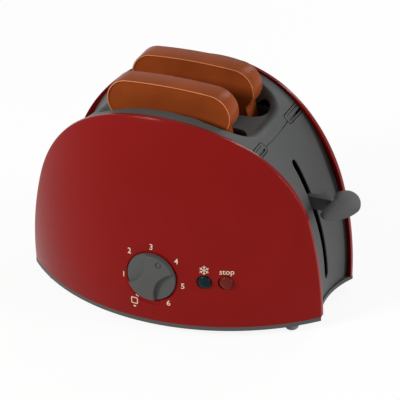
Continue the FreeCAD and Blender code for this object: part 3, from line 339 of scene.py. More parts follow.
def fill(piece):
    """Closes a loop with a face and stays in edit mode with all of it selected."""
    edit(piece, action="SELECT")
    bpy.ops.mesh.edge_face_add()


def prism(name, points, push):
    """A closed loop filled and pushed out along a vector."""
    piece = ring(name, points)
    fill(piece)
    bpy.ops.mesh.extrude_region_move(TRANSFORM_OT_translate={"value": push})
    face_out(piece)
    return piece


def open_ring(name, points):
    """A line of edges through points, with all of it selected in edit mode."""
    piece = ring(name, points)
    edit(piece)
    choose(piece, "edges", lambda e: set(e.vertices) == {0, len(points) - 1})
    bpy.ops.mesh.delete(type="EDGE")
    bpy.ops.mesh.select_all(action="SELECT")
    return piece


FORWARD = Vector((0, -1, 0))


def turned(name, profile, centre, steps):
    """A profile of (radius, distance forward) spun about a line from back to front."""
    piece = open_ring(name, [centre + Vector((r, -h, 0)) * MM for r, h in profile])
    bpy.ops.mesh.spin(steps=steps, angle=2 * math.pi, center=centre, axis=FORWARD)
    face_out(piece)
    return piece


def cylinder(name, centre, radius, depth, vertices=64):
    """A cylinder that lies from front to back."""
    start()
    turn = Vector((0, 0, 1)).rotation_difference(-FORWARD).to_euler()
    bpy.ops.mesh.primitive_cylinder_add(
        vertices=vertices, radius=radius * MM, depth=depth * MM, location=centre, rotation=turn
    )
    piece = name_piece(name)
    settle(piece)
    return piece


def arc(centre, radius, first, last, count):
    """Points (u, v) along an arc given in degrees."""
    turns = [math.radians(first + (last - first) * i / count) for i in range(count + 1)]
    return [(centre[0] + radius * math.cos(t), centre[1] + radius * math.sin(t)) for t in turns]


# --- the body's forms -----------------------------------------------

HALF, HEIGHT = 95.0, 125.0
TOP_R, SHOULDER_R, SIDE_R, SIDE_Z = 106.5, 81.3, 237.5, 4.5
PLAN_R, RISE_R, WAIST_Z = 132.4, 277.5, 16.4
PANEL_WALL = 2.6
SEAM_X = 56.0
WELL_FLOOR = DECK + HEIGHT - 18.0


def arch(side_inset=0.0, top_inset=0.0, count=180):
    """Points (x, height over the deck) evenly along the arch from its right foot to its left one."""
    half, height = HALF - side_inset, HEIGHT - top_inset
    top, side = TOP_R - top_inset, SIDE_R - side_inset
    shoulder = SHOULDER_R - (side_inset + top_inset) / 2
    side_at = Vector((half - math.sqrt(side**2 - SIDE_Z**2), SIDE_Z))
    top_at = Vector((0, height - top))
    apart = top_at - side_at
    one, two = side - shoulder, top - shoulder
    along = (one**2 - two**2 + apart.length_squared) / (2 * apart.length)
    across = math.sqrt(one**2 - along**2)
    ahead = apart.normalized()
    shoulder_at = side_at + ahead * along + Vector((-ahead.y, ahead.x)) * across
    low = side_at + (shoulder_at - side_at).normalized() * side
    high = top_at + (shoulder_at - top_at).normalized() * top

    def run(centre, radius, start_at, end_at):
        first = math.atan2(start_at.y - centre.y, start_at.x - centre.x)
        last = math.atan2(end_at.y - centre.y, end_at.x - centre.x)
        turns = [first + (last - first) * i / 400 for i in range(401)]
        return [centre + Vector((math.cos(t), math.sin(t))) * radius for t in turns]

    right = run(side_at, side, Vector((half, 0)), low)
    right += run(shoulder_at, shoulder, low, high)[1:]
    right += run(top_at, top, high, Vector((0, height)))[1:]
    whole = right + [Vector((-p.x, p.y)) for p in reversed(right[:-1])]
    return spaced(whole, count)


def spaced(path, count):
    """The same path with its points evenly apart."""
    run = [0.0]
    for a, b in zip(path, path[1:]):
        run.append(run[-1] + (b - a).length)
    made, i = [], 0
    for n in range(count + 1):
        want = run[-1] * n / count
        while i < len(path) - 2 and run[i + 1] < want:
            i += 1
        share = (want - run[i]) / (run[i + 1] - run[i])
        made.append(path[i].lerp(path[i + 1], share))
    return made


def barrel(height, inward=0.0):
    """Radius of a bowed panel at a height over the deck."""
    return PLAN_R - RISE_R + math.sqrt((RISE_R - inward) ** 2 - (height - WAIST_Z) ** 2)


def face_y(x, height, inward=0.0):
    """How far out a panel's face lies from the middle."""
    return math.sqrt(barrel(height, inward) ** 2 - x * x) - BARREL_Y


# --- red panels -----------------------------------------------------


def barrel_former(side, inward):
    """A smooth barrel that a flat sheet is pressed on to."""
    heights = [-6 + 138 * i / 92 for i in range(93)]
    axis_at = at(0, BARREL_Y * -side, DECK)
    points = [axis_at + Vector((0, barrel(h, inward) * side, h)) * MM for h in heights]
    piece = open_ring("former", points)
    span = math.radians(104)
    bpy.ops.transform.rotate(value=-span / 2, orient_axis="Z", center_override=axis_at)
    bpy.ops.mesh.spin(steps=220, angle=span, center=axis_at, axis=(0, 0, 1))
    to_object_mode()
    spread = [v.co.x - axis_at.x for v in piece.data.vertices]
    if min(spread) > -0.09 or max(spread) < 0.09:
        raise RuntimeError("the barrel does not reach both ends")
    return piece


RING_SHARES = (0.975, 0.94, 0.89, 0.83, 0.76, 0.68, 0.6, 0.52, 0.44, 0.36, 0.28, 0.2, 0.13, 0.07, 0.03)


def arch_sheet(name):
    """The arch as a flat sheet of rings that close in on its middle."""
    foot = [Vector((-HALF + 2 * HALF * i / 60, 0)) for i in range(1, 60)]
    piece = ring(name, [at(p.x, 0, DECK + p.y) for p in arch(count=168) + foot])
    centre = at(0, 0, DECK + 48)
    edit(piece, action="SELECT")
    left = 1.0
    for share in RING_SHARES:
        bpy.ops.mesh.extrude_region_move(TRANSFORM_OT_translate={"value": (0, 0, 0)})
        step = share / left
        bpy.ops.transform.resize(value=(step, 1, step), center_override=centre)
        left = share
    bpy.ops.mesh.merge(type="CENTER")
    to_object_mode()
    return piece


def press(piece, side, inward=0.0, offset=0.0):
    """Presses a sheet on to the bowed form of the front (-1) or rear (1) panel."""
    former = barrel_former(side, inward)
    modify(
        piece,
        "SHRINKWRAP",
        target=former,
        wrap_method="PROJECT",
        use_project_y=True,
        use_negative_direction=True,
        use_positive_direction=True,
        offset=offset * MM,
    )
    discard(former)


def panel_shell(name, side):
    """A bowed panel: outer and inner sheets joined round their rims, with both rims softened."""
    outer = arch_sheet(name)
    press(outer, side)
    inner = arch_sheet(name + "_inner")
    press(inner, side, PANEL_WALL)
    join(outer, inner)
    edit(outer, "EDGE")
    bpy.ops.mesh.select_non_manifold()
    bpy.ops.mesh.bridge_edge_loops()
    bpy.ops.mesh.select_all(action="SELECT")
    bpy.ops.mesh.normals_make_consistent(inside=False)
    for inward, size in ((0, sizes().panel_round), (PANEL_WALL, sizes().inner_round)):
        choose(outer, "edges", lambda e: is_rim(outer, e, inward))
        bpy.ops.mesh.bevel(offset=size * MM, segments=4, profile=0.5)
    to_object_mode()
    return outer


def is_rim(piece, edge, inward):
    """True for an edge along the rim of a panel's outer or inner face, all round its arch."""
    for index in edge.vertices:
        p = (piece.data.vertices[index].co - MIDDLE) / MM
        on_face = abs(abs(p.y) - face_y(p.x, p.z - DECK, inward)) < 0.05
        if not on_face or p.z < DECK + 0.01 and abs(p.x) < 94.9:
            return False
    a, b = (piece.data.vertices[i].co for i in edge.vertices)
    middle = ((a + b) / 2 - MIDDLE) / MM
    return on_arch(middle.x, middle.z - DECK)


def on_arch(x, height):
    """True within a small distance of the arch outline."""
    return min((p.x - x) ** 2 + (p.y - height) ** 2 for p in ARCH_POINTS) < 0.9**2


ARCH_POINTS = arch(count=400)

DIAL_X, DIAL_HEIGHT, DIAL_R, SEAT_R = 2.75, 30.5, 15.4, 16.2
SEAT_RIM = ((0.1, 0.65), (0.35, 0.95), (0.75, 1.2), (1.3, 1.4), (2.0, 1.55), (2.8, 1.65), (2.9, 6))
DIAL_SEAT = at(DIAL_X, 0.4 - face_y(DIAL_X + SEAT_R, DIAL_HEIGHT), DECK + DIAL_HEIGHT)
SHAFT_HOLE_R = 3.1
BUTTONS = {"defrost": (34.7, "defrost_dark"), "stop": (47.0, "stop_red")}  # place along X, slot
BUTTON_HEIGHT, BUTTON_R, BUTTON_HOLE_R = 31.0, 4.2, 4.45


def button_face(x):
    """Place on the front panel's face at the middle of a button."""
    return at(x, -face_y(x, BUTTON_HEIGHT), DECK + BUTTON_HEIGHT)


def carve_dial_seat(panel):
    """The round recess under the dial, its soft rim, and the hole for the shaft."""
    profile = [(0, 0), (SEAT_R - 0.1, 0), (SEAT_R, 0.1), (SEAT_R, 0.35)]
    profile += [(SEAT_R + a, b) for a, b in SEAT_RIM]
    carve(panel, turned("seat_cut", profile + [(0, 6)], DIAL_SEAT, 96))
    carve(panel, cylinder("shaft_cut", DIAL_SEAT, SHAFT_HOLE_R, 30))


def carve_button_holes(panel):
    for x, _ in BUTTONS.values():
        carve(panel, cylinder("button_cut", button_face(x), BUTTON_HOLE_R, 12))


class TOASTER_OT_front_panel(bpy.types.Operator):
    """Front panel: bowed red shell with the dial seat and two button holes"""

    bl_idname = "toaster.front_panel"
    bl_label = "Front panel"

    def execute(self, context):
        panel = panel_shell("front_panel_shell", -1)
        carve_dial_seat(panel)
        carve_button_holes(panel)
        finish_piece(panel, "red_gloss_plastic", "housing", ["front_panel"], 35)
        return {"FINISHED"}


class TOASTER_OT_rear_panel(bpy.types.Operator):
    """Rear panel: plain bowed red shell"""

    bl_idname = "toaster.rear_panel"
    bl_label = "Rear panel"

    def execute(self, context):
        panel = panel_shell("rear_panel_shell", 1)
        finish_piece(panel, "red_gloss_plastic", "housing", ["rear_panel"], 35)
        return {"FINISHED"}


# --- grey band ------------------------------------------------------

BAND = arch(3.5, 1.0, 1200)
VALLEY_BACK, VALLEY_RISE = 72.3, 8.4
VALLEY_PATH, VALLEY_R = 160.5, 85.0
ROOM_GAP = 0.1
SEAM_HALF = 0.18
LEFT_LIFT = 2.0  # how much fuller the band's left shoulder is beside the panels
EDGE_Y = 38  # where along the band its width between the panels is taken
COVER_WALL, END_WALL = 2.0, 0.8
# Half length and corner radius of the well's right and left ends, and half its width.
WELL_RIGHT, WELL_LEFT, WELL_HALF = (45.5, 22.0), (47.0, 14.0), 29.5


def band_spot(run, y):
    """Place (x, z) on the hollowed band; run goes from 0 at the right foot to 1 at the left one."""
    place = min(max(run, 0.0), 1.0) * (len(BAND) - 1)
    i = min(int(place), len(BAND) - 2)
    p = BAND[i].lerp(BAND[i + 1], place - i)
    side = 1 if p.x >= 0 else -1
    centre = Vector((-VALLEY_BACK * side, VALLEY_RISE))
    out = p - centre
    path = VALLEY_PATH + VALLEY_R - math.sqrt(VALLEY_R**2 - y * y)
    over = out.length - path
    soft = 1.2 + 3.4 * min(max((p.y - 40) / 60, 0), 1)
    sink = (over + math.sqrt(over * over + soft * soft)) / 2
    if p.x < 0:
        full = min(max((p.y - 45) / 35, 0), 1) * min(max((124 - p.y) / 24, 0), 1)
        sink -= full * min(abs(y) / 40, 1) ** 2 * (sink * 0.6 + LEFT_LIFT)
    return p - out.normalized() * sink


def end_spot(end, run, y):
    """The same from the foot of the right end (1) or the left one (-1)."""
    return band_spot(run if end > 0 else 1 - run, y)


def band_edge(run, inward):
    """Half width of the band between the panels."""
    x, height = band_spot(run, EDGE_Y)
    return face_y(x, height, inward)


def run_to_x(y, want):
    """The run at which the band at y reaches a given x in its right half."""
    low, high = 0.0, 0.5
    for _ in range(40):
        middle = (low + high) / 2
        if band_spot(middle, y).x > want:
            low = middle
        else:
            high = middle
    return (low + high) / 2


def grid(name, across, along, form):
    """A grid of so many cells, each point, as shares 0 to 1 both ways, put where the form says."""
    start()
    bpy.ops.mesh.primitive_grid_add(x_subdivisions=across, y_subdivisions=along, size=1)
    piece = name_piece(name)
    for vertex in piece.data.vertices:
        vertex.co = form(vertex.co.x + 0.5, vertex.co.y + 0.5)
    piece.data.update()
    return piece


def well_drop(x, y):
    """Share of the way from the cover's top down to the well's floor, with a soft rim and foot."""
    end, corner = WELL_RIGHT if x > 0 else WELL_LEFT
    dx = max(abs(x) - (end - corner), 0)
    dy = max(abs(y) - (WELL_HALF - corner), 0)
    apart = math.hypot(dx, dy)
    endwards = (dx / apart) ** 2 if apart else 0
    slope = sizes().well_slope * (0.6 + 0.9 * endwards)
    share = min(max((slope - 0.8 - apart + corner) / slope, 0), 1)
    return share * share * (3 - 2 * share)


def cover_point(u, v):
    """Place of a point of the cover, given as shares along and across it."""
    guess = (v * 2 - 1) * 40
    edge_run = run_to_x(guess, SEAM_X - SEAM_HALF)
    run = edge_run + (1 - 2 * edge_run) * u
    half = band_edge(run, PANEL_WALL + ROOM_GAP)
    near = min(max((50 - abs(band_spot(run, EDGE_Y).x)) / 5, 0), 1)
    y = (v * 2 - 1) * (half - sizes().side_gap * near)
    x, height = band_spot(run, y)
    z = DECK + height
    z += (WELL_FLOOR - z) * well_drop(x, y)
    return at(x, y, z)


SLICE_Y, SLOT_HALF, SLOT_LOW = 18.0, 9.75, 96.0
# The slot's corners: its end along X, the corner's radius, its side and the arc's first angle.
SLOT_CORNERS = ((43.5, 9, 1, 0), (-44.8, 4, 1, 90), (-44.8, 4, -1, 180), (43.5, 9, -1, 270))


def slot_loop(side):
    """Outline of a toast slot as points; its lever end is rounder."""
    points = []
    for end, corner, sy, first in SLOT_CORNERS:
        spot = (end - math.copysign(corner, end), SLICE_Y * side + sy * (SLOT_HALF - corner))
        points += [at(x, y, SLOT_LOW) for x, y in arc(spot, corner, first, first + 90, 14)]
    return points


CLIP_NEAR, CLIP_FAR, CLIP_HALF, CLIP_CORNER = 17.0, 44.0, 3.6, 2.2
# The two catch slots in each clip: offset and width along the band, first place across it, depth.
CATCHES = ((0.6, 1.6, 19.5, 1.5), (-1.9, 0.5, 20.0, 0.8))
QUARTER = [math.pi / 2 * i / 6 for i in range(1, 7)]


def seam_frame(end, side):
    """Middle of a clip, with directions along the band, across it towards the panel, and outwards."""
    run = run_to_x(24, SEAM_X)
    here, ahead = end_spot(end, run, 24), end_spot(end, run - 0.004, 24)
    along = (ahead - here).normalized()
    along = Vector((along.x, 0, along.y))
    across = Vector((0, side, 0))
    out = Vector((-along.z * end, 0, along.x * end))
    if out.z < 0:
        out = -out
    return at(here.x, 0, DECK + here.y), along, across, out


def clip_loop(end, side, inset):
    """A U seen from above: rounded towards the middle of the toaster, open towards the panel."""
    centre, along, across, out = seam_frame(end, side)
    half, corner = CLIP_HALF - inset, CLIP_CORNER - inset * 0.5
    inner, foot = half - corner, CLIP_NEAR + inset + corner
    flat = [(half, CLIP_FAR), (half, foot)]
    flat += [(inner + corner * math.cos(t), foot - corner * math.sin(t)) for t in QUARTER]
    flat += [(-inner - corner * math.sin(t), foot - corner * math.cos(t)) for t in QUARTER]
    flat += [(-half, CLIP_FAR)]
    return [centre + (along * a + across * b) * MM for a, b in flat], out


def clip_block(end, side, inset):
    """A block of the clip's outline, tall enough to cut or trim the band."""
    loop, out = clip_loop(end, side, inset)
    return prism("clip_block", [p - out * 6 * MM for p in loop], out * 12 * MM)


def clip_tab(end, side):
    """The spring tab that bridges the seam, cut from a strip of the band, with its two catch slots."""
    tab = band_strip("clip_tab", end, SEAM_X + 6, SEAM_X - 7, 22, COVER_WALL)
    carve(tab, clip_block(end, side, sizes().groove_width), "INTERSECT")
    for catch in CATCHES:
        carve(tab, clip_window(end, side, *catch))
    return tab


def clip_window(end, side, offset, width, first, depth):
    """Cutter for a narrow upright slot in a clip."""
    centre, along, across, out = seam_frame(end, side)
    far = offset + width
    corners = ((offset, first), (far, first), (far, CLIP_FAR), (offset, CLIP_FAR))
    points = [centre + (along * a + across * b) * MM - out * depth * MM for a, b in corners]
    return prism("clip_window", points, out * (depth + 3) * MM)


def carve_clips(piece, ends):
    for end in ends:
        for side in (-1, 1):
            carve(piece, clip_block(end, side, 0))


class TOASTER_OT_top_cover(bpy.types.Operator):
    """Top cover: hollowed strip with the well, two toast slots and four clips"""

    bl_idname = "toaster.top_cover"
    bl_label = "Top cover"

    def execute(self, context):
        cell = sizes().cover_cell
        cover = grid("top_cover_strip", int(124 / cell), int(84 / cell), cover_point)
        edit(cover, action="SELECT")
        bpy.ops.mesh.extrude_region_move(TRANSFORM_OT_translate={"value": (0, 0, -COVER_WALL * MM)})
        face_out(cover)
        for side in (-1, 1):
            carve(cover, prism("slot_cut", slot_loop(side), (0, 0, 0.029)))
        carve_clips(cover, (-1, 1))
        join(cover, *[clip_tab(end, side) for end in (-1, 1) for side in (-1, 1)])
        finish_piece(cover, "grey_satin_plastic", "housing", ["top_cover"], 50)
        return {"FINISHED"}


def face_up(piece):
    """Turns a sheet so that its faces look up or outwards, away from the middle of the body."""
    inside = at(0, 0, 60)
    total = sum((f.center - inside).dot(f.normal) for f in piece.data.polygons)
    if total < 0:
        edit(piece, action="SELECT")
        bpy.ops.mesh.flip_normals()
        to_object_mode()


STRIP_CELLS = 72  # mesh cells across a strip of the band


def band_strip(name, end, outer, inner, cells, thickness):
    """A strip of the band between two places along X, the outer one None for its foot."""

    def form(u, v):
        guess = (v * 2 - 1) * 30
        first = 0.0 if outer is None else run_to_x(guess, outer)
        run = first + (run_to_x(guess, inner) - first) * u
        y = (v * 2 - 1) * band_edge(run, PANEL_WALL + ROOM_GAP)
        x, height = end_spot(end, run, y)
        return at(x, y, DECK + max(height, 0.05))

    piece = grid(name, cells, STRIP_CELLS, form)
    face_up(piece)
    modify(piece, "SOLIDIFY", thickness=thickness * MM, offset=-1)
    return piece


def end_wall(name, end):
    """Hollowed end wall from the seam down to the base."""
    piece = band_strip(name, end, None, SEAM_X + SEAM_HALF, 110, END_WALL)
    carve_clips(piece, (end,))
    return piece


LEVER_LOW, LEVER_HIGH, LEVER_HALF = 18.5, 96.0, 2.6  # foot, top and half width of the lever's slot


def lever_slot():
    """Cutter for the lever's slot: round at the top, with a blunt point at the foot."""
    low, half = LEVER_LOW, LEVER_HALF
    loop = arc((0, LEVER_HIGH - half), half, 0, 180, 12)
    loop += [(-half, low + 2.7), (-half + 0.3, low + 2.3), (0, low)]
    loop += [(half - 0.3, low + 2.3), (half, low + 2.7)]
    return prism("lever_cut", [at(60, y, z) for y, z in loop], (0.05, 0, 0))


class TOASTER_OT_end_walls(bpy.types.Operator):
    """End walls: two hollowed walls, the right one with the lever's slot"""

    bl_idname = "toaster.end_walls"
    bl_label = "End walls"

    def execute(self, context):
        for name, end in (("right_end", 1), ("left_end", -1)):
            wall = end_wall(name + "_strip", end)
            if end > 0:
                carve(wall, lever_slot())
            finish_piece(wall, "grey_satin_plastic", "housing", [name + "_wall"], 50)
        return {"FINISHED"}


# --- toast, lever, dial and buttons ---------------------------------

SHELF_TOP, SLICE_X, SLICE_HALF = 62.0, -3.0, 6.5


def toast_loop(inset):
    """Outline (x, height) of a slice, moved inwards."""
    lobe_r, top = 14.0 - inset, 82.0
    lobe_x = 26.0
    rise = (lobe_x + 1.4) ** 2 / 660
    lobe_z = top - rise - 14.0 * 0.995
    neck, body, foot = 35.2 - inset, 37.4 - inset, 5.0
    drop = math.sqrt(lobe_r**2 - (neck - lobe_x) ** 2)
    right = [(body - foot, inset)]
    right += arc((body - foot, inset + foot), foot, -80, 0, 8)
    right += [(body, 20 + 27 * i / 6) for i in range(6)]
    first = math.degrees(math.atan2(-drop, neck - lobe_x))
    neck_z = lobe_z - drop
    right += [(body + (neck - body) * t, 47 + (neck_z - 47) * t) for t in (0, 0.35, 0.7, 0.9)]
    right += arc((lobe_x, lobe_z), lobe_r, first, 84, 30)
    crown_z = lobe_z + lobe_r * 0.995
    half = lobe_x + lobe_r * 0.1
    right += [(half * (1 - t), crown_z + rise * (1 - (1 - t) ** 2)) for t in (0.15, 0.35, 0.6, 0.85)]
    return right + [(-x, z) for x, z in reversed(right)]


def make_slice(name, side):
    """A slice with a thin raised rim round each face and soft edges."""
    y = SLICE_Y * side
    loop = [at(x + SLICE_X, y - SLICE_HALF, SHELF_TOP + z) for x, z in toast_loop(0)]
    piece = prism(name, loop, (0, 2 * SLICE_HALF * MM, 0))
    centre = at(SLICE_X, y, SHELF_TOP + 42)
    for face in (-1, 1):
        edit(piece, "FACE")
        choose(piece, "polygons", lambda f: f.normal.y * face > 0.9)
        bpy.ops.mesh.inset(thickness=sizes().toast_rim * MM, use_even_offset=True)
        drop = -face * sizes().toast_recess * MM
        bpy.ops.mesh.extrude_region_move(TRANSFORM_OT_translate={"value": (0, drop, 0)})
        bpy.ops.transform.resize(value=(0.992, 1, 0.992), center_override=centre)
    soften(piece, sizes().toast_round, 50)
    return piece


def rim_line(name, side, face):
    """A painted highlight: a lighter strip laid just proud of the flat of a slice's rim, standing in
    for the rounded edge catching light.
    """
    y = SLICE_Y * side + SLICE_HALF * face
    loops = [toast_loop(0.3), toast_loop(0.8)]
    piece = ring(name, [at(x + SLICE_X, y, SHELF_TOP + z) for loop in loops for x, z in loop])
    count = len(loops[0])
    edit(piece)
    choose(piece, "edges", lambda e: crosses(e.vertices, count))
    bpy.ops.mesh.delete(type="EDGE_FACE")
    for first in (0, count):
        choose(piece, "vertices", lambda v: v.index in (first, first + count - 1))
        bpy.ops.mesh.edge_face_add()
    bpy.ops.mesh.select_all(action="SELECT")
    bpy.ops.mesh.bridge_edge_loops()
    modify(piece, "SOLIDIFY", thickness=0.1 * MM, offset=0)
    return piece


def crosses(pair, count):
    """True for the two edges that join the outer loop's points to the inner one's."""
    return len([i for i in pair if i < count]) == 1


class TOASTER_OT_toast(bpy.types.Operator):
    """Two slices of toast, each with a painted highlight strip along the rim of both faces"""

    bl_idname = "toaster.toast"
    bl_label = "Toast"

    def execute(self, context):
        for body, side in (("front_toast", -1), ("rear_toast", 1)):
            piece = make_slice(body + "_slice", side)
            finish_piece(piece, "toast_brown_plastic", body, [body])
            for face in (-1, 1):
                # Each face of the slice gets a painted highlight strip along its rim.
                line = rim_line(f"{body}_line_{'front' if face < 0 else 'rear'}", side, face)
                finish_piece(line, "toast_rim_plastic", body, (), 30)
        return {"FINISHED"}


PLATE_X, PLATE_RIM = 95.6, 71.8
PLATE_LONG, PLATE_WIDE, PLATE_BACK, PLATE_CUT, PLATE_DOME = 13.0, 18.4, 9.5, 6.2, 3.1
PLATE_POINT = 1.17  # 1 for an oval tip, more for a slimmer one
NECK_HALF = 2.2
NECK = ((75.5, 66.3), (93, 66.3), (94.5, 70.3), (92, 74.5), (90.5, 74.75), (75.5, 74.65))


def make_plate(name):
    """The lever's finger plate: an oval with a slim tip, cut off square at the wall and domed above."""
    turns = [math.pi / 2 * i / 32 for i in range(33)]
    half = [(math.cos(t) ** PLATE_POINT, math.sin(t) ** PLATE_POINT) for t in turns]
    half = [(PLATE_LONG * a, PLATE_WIDE * b) for a, b in half]
    turns = [math.asin(PLATE_CUT / PLATE_BACK) * i / 10 for i in range(1, 11)]
    half += [(-PLATE_BACK * math.sin(t), PLATE_WIDE * math.cos(t)) for t in turns]
    outline = half + [(x, -y) for x, y in reversed(half[1:])]
    piece = ring(name, [Vector((x, y, -1.5)) * MM for x, y in outline])
    fill(piece)
    choose(piece, "edges", lambda e: is_boundary(piece, e))
    rise, reach = -1.5, 1.0
    rings = [(1.0, -0.5), (0.992, -0.15), (0.975, 0.0)]
    rings += [(s, PLATE_DOME * (1 - s * s)) for s in (0.92, 0.85, 0.75, 0.62, 0.48, 0.34, 0.2, 0.08)]
    for share, lift in rings:
        push = (0, 0, (lift - rise) * MM)
        bpy.ops.mesh.extrude_region_move(TRANSFORM_OT_translate={"value": push})
        step = share / reach
        bpy.ops.transform.resize(value=(step, step, 1), center_override=(0, 0, 0))
        rise, reach = lift, share
    bpy.ops.mesh.edge_face_add()
    face_out(piece)
    return piece


def is_boundary(piece, edge):
    """True for an edge of one face only."""
    key = tuple(sorted(edge.vertices))
    return sum(key in face.edge_keys for face in piece.data.polygons) == 1


class TOASTER_OT_lever(bpy.types.Operator):
    """Lever: domed finger plate on its neck"""

    bl_idname = "toaster.lever"
    bl_label = "Lever"

    def execute(self, context):
        plate = make_plate("lever_plate")
        plate.location = at(PLATE_X, 0, PLATE_RIM)
        settle(plate)
        neck = prism("lever_neck", [at(a, -NECK_HALF, z) for a, z in NECK], (0, 2 * NECK_HALF * MM, 0))
        soften(neck, 0.4, 30)
        for piece in (plate, neck):
            finish_piece(piece, "grey_satin_plastic", "carriage", ["lever_paddle"])
        return {"FINISHED"}


DIAL_TOP, DIAL_DOME, DIAL_EDGE = 5.8, 1.0, 0.9
SCOOP_AWAY, SCOOP_R, SCOOP_FLOOR = 22.4, 17.4, 3.4  # floor measured down from the dial's top
BAR_TURN, MARK_AWAY = -29.5, 12.2
MARK = ((0, 1.1), (0.8, 0.85), (1.2, 0.4), (1.35, -0.25), (1.6, -0.35), (1.8, -0.2), (1.95, 0.5))


def make_knob():
    """The dial: low dome, two scoops that leave a waisted bar, and a ringed mark."""
    rim = DIAL_R - 0.3 - DIAL_EDGE
    profile = [(0, 0.4), (DIAL_R - 0.6, 0.4), (DIAL_R - 0.15, 0.6), (DIAL_R, 1.0)]
    profile += arc((rim, DIAL_TOP - DIAL_DOME - DIAL_EDGE), DIAL_EDGE, 0, 82, 6)
    shares = (0.05, 0.2, 0.4, 0.6, 0.8, 1.0)
    profile += [(rim * (1 - t), DIAL_TOP - DIAL_DOME * (1 - t) ** 2) for t in shares]
    knob = turned("dial_cap", profile, DIAL_SEAT, 96)
    turn = math.radians(BAR_TURN)
    along = Vector((math.cos(turn), 0, math.sin(turn)))
    up = Vector((-math.sin(turn), 0, math.cos(turn)))
    for side in (-1, 1):
        lift = FORWARD * (DIAL_TOP - SCOOP_FLOOR + 5) * MM
        centre = DIAL_SEAT + along * side * SCOOP_AWAY * MM + lift
        carve(knob, cylinder("scoop_cut", centre, SCOOP_R, 10, 160))
    soften(knob, 0.3, 40)
    spot = DIAL_SEAT + up * MARK_AWAY * MM + FORWARD * (DIAL_TOP - DIAL_DOME) * MM
    carve(knob, turned("mark_cut", [*MARK, (1.95, 3), (0, 3)], spot, 40))
    return knob


class TOASTER_OT_dial(bpy.types.Operator):
    """Dial: knob with its pointer mark"""

    bl_idname = "toaster.dial"
    bl_label = "Dial"

    def execute(self, context):
        finish_piece(make_knob(), "grey_satin_plastic", "dial", ["dial_knob"])
        return {"FINISHED"}


class TOASTER_OT_buttons(bpy.types.Operator):
    """Two domed push buttons"""

    bl_idname = "toaster.buttons"
    bl_label = "Buttons"

    def execute(self, context):
        for name, (x, slot) in BUTTONS.items():
            profile = [(0, -9), (2, -9), (2, -4), (BUTTON_R - 0.2, -4)]
            profile += [(BUTTON_R, -3.8), (BUTTON_R, 0.2)]
            turns = (0.25, 0.5, 0.75, 1.0, 1.25)
            profile += [(BUTTON_R * math.cos(t), 0.2 + 1.6 * math.sin(t)) for t in turns]
            cap = turned(name + "_cap", profile + [(0, 1.8)], button_face(x), 48)
            node = name + "_button"
            finish_piece(cap, slot + "_plastic", node, [node])
        return {"FINISHED"}


# --- print ----------------------------------------------------------


def lay_print(piece):
    """Presses a flat sign on to the front panel and gives it the thickness of ink."""
    press(piece, -1, 0, 0.04)
    modify(piece, "SOLIDIFY", thickness=sizes().print_lift * MM, offset=0)
    finish_piece(piece, "cream_ink", "housing", (), 30)


def write_word(name, word, x, z, height, bold=0.0):
    """A word or numeral standing upright on the panel, centred at x and z."""
    start()
    bpy.ops.object.text_add(location=(0, 0, 0))
    text = bpy.context.object
    text.data.body = word
    text.data.align_x = "CENTER"
    text.data.align_y = "CENTER"
    text.data.size = height * 1.42 * MM
    text.data.offset = bold * MM
    text.data.resolution_u = 6
    bpy.ops.object.convert(target="MESH")
    piece = name_piece(name)
    piece.rotation_euler = (math.radians(90), 0, 0)
    settle(piece)
    centre_on(piece, at(x, -face_y(x, z - DECK) - 1.0, z))
    return piece


def centre_on(piece, spot):
    """Moves a flat sign so that the middle of its box is at a spot."""
    low = Vector(map(min, *[v.co for v in piece.data.vertices]))
    high = Vector(map(max, *[v.co for v in piece.data.vertices]))
    shift = spot - (low + high) / 2
    edit(piece, action="SELECT")
    bpy.ops.transform.translate(value=shift)
    to_object_mode()


def strokes(name, lines, width, x, z):
    """A sign made of straight strokes given as pairs of points around a centre."""
    parts = []
    y = -face_y(x, z - DECK) - 1.0
    for a, b in lines:
        a, b = Vector(a), Vector(b)
        ahead = (b - a).normalized()
        side = Vector((-ahead.y, ahead.x)) * width / 2
        corners = [a - side, b - side, b + side, a + side]
        loop = ring(name + "_stroke", [at(x + c.x, y, z + c.y) for c in corners])
        fill(loop)
        parts.append(loop)
    join(*parts)
    return name_piece(name)


# Places of the numerals 1 to 6 along X and over the deck.
NUMERALS = (-15.8, 27.8), (-11.9, 44.3), (2.3, 49.7), (18.1, 43.0), (22.2, 27.1), (13.3, 14.2)
TOAST_SIGN, SNOWFLAKE_SIGN, STOP_WORD = (-8.85, DECK + 11.4), (34.7, DECK + 38.8), (47.5, DECK + 37.3)


class TOASTER_OT_signs(bpy.types.Operator):
    """Printed numerals, toast and snowflake signs and the word over the right button"""

    bl_idname = "toaster.signs"
    bl_label = "Signs"

    def execute(self, context):
        tall = sizes().numeral_height
        for number, (x, z) in enumerate(NUMERALS, 1):
            lay_print(write_word(f"numeral_{number}", str(number), x, DECK + z, tall, 0.03))
        s = 1.95
        box = [((-s, -s), (s, -s)), ((s, -s), (s, s)), ((s, s), (-s, s)), ((-s, s), (-s, -s))]
        signs = box + [((1.1, 4.4), (2.9, 3.4)), ((-0.9, -4.0), (0.9, -4.0)), ((0, -3.4), (0, -4.6))]
        lay_print(strokes("toast_sign", signs, 0.55, *TOAST_SIGN))
        flake = []
        for arm in range(6):
            t = math.radians(90 + 60 * arm)
            tip = Vector((math.cos(t), math.sin(t))) * 3.0
            flake.append(((0, 0), tip))
            for turn in (-1, 1):
                branch = Vector((math.cos(t + turn * 0.75), math.sin(t + turn * 0.75))) * 1.15
                flake.append((tip * 0.5, tip * 0.5 + branch))
        lay_print(strokes("snowflake_sign", flake, 0.36, *SNOWFLAKE_SIGN))
        lay_print(write_word("stop_word", "stop", *STOP_WORD, 3.4, 0.02))
        return {"FINISHED"}


# --- carried-over nodes and the stage -------------------------------

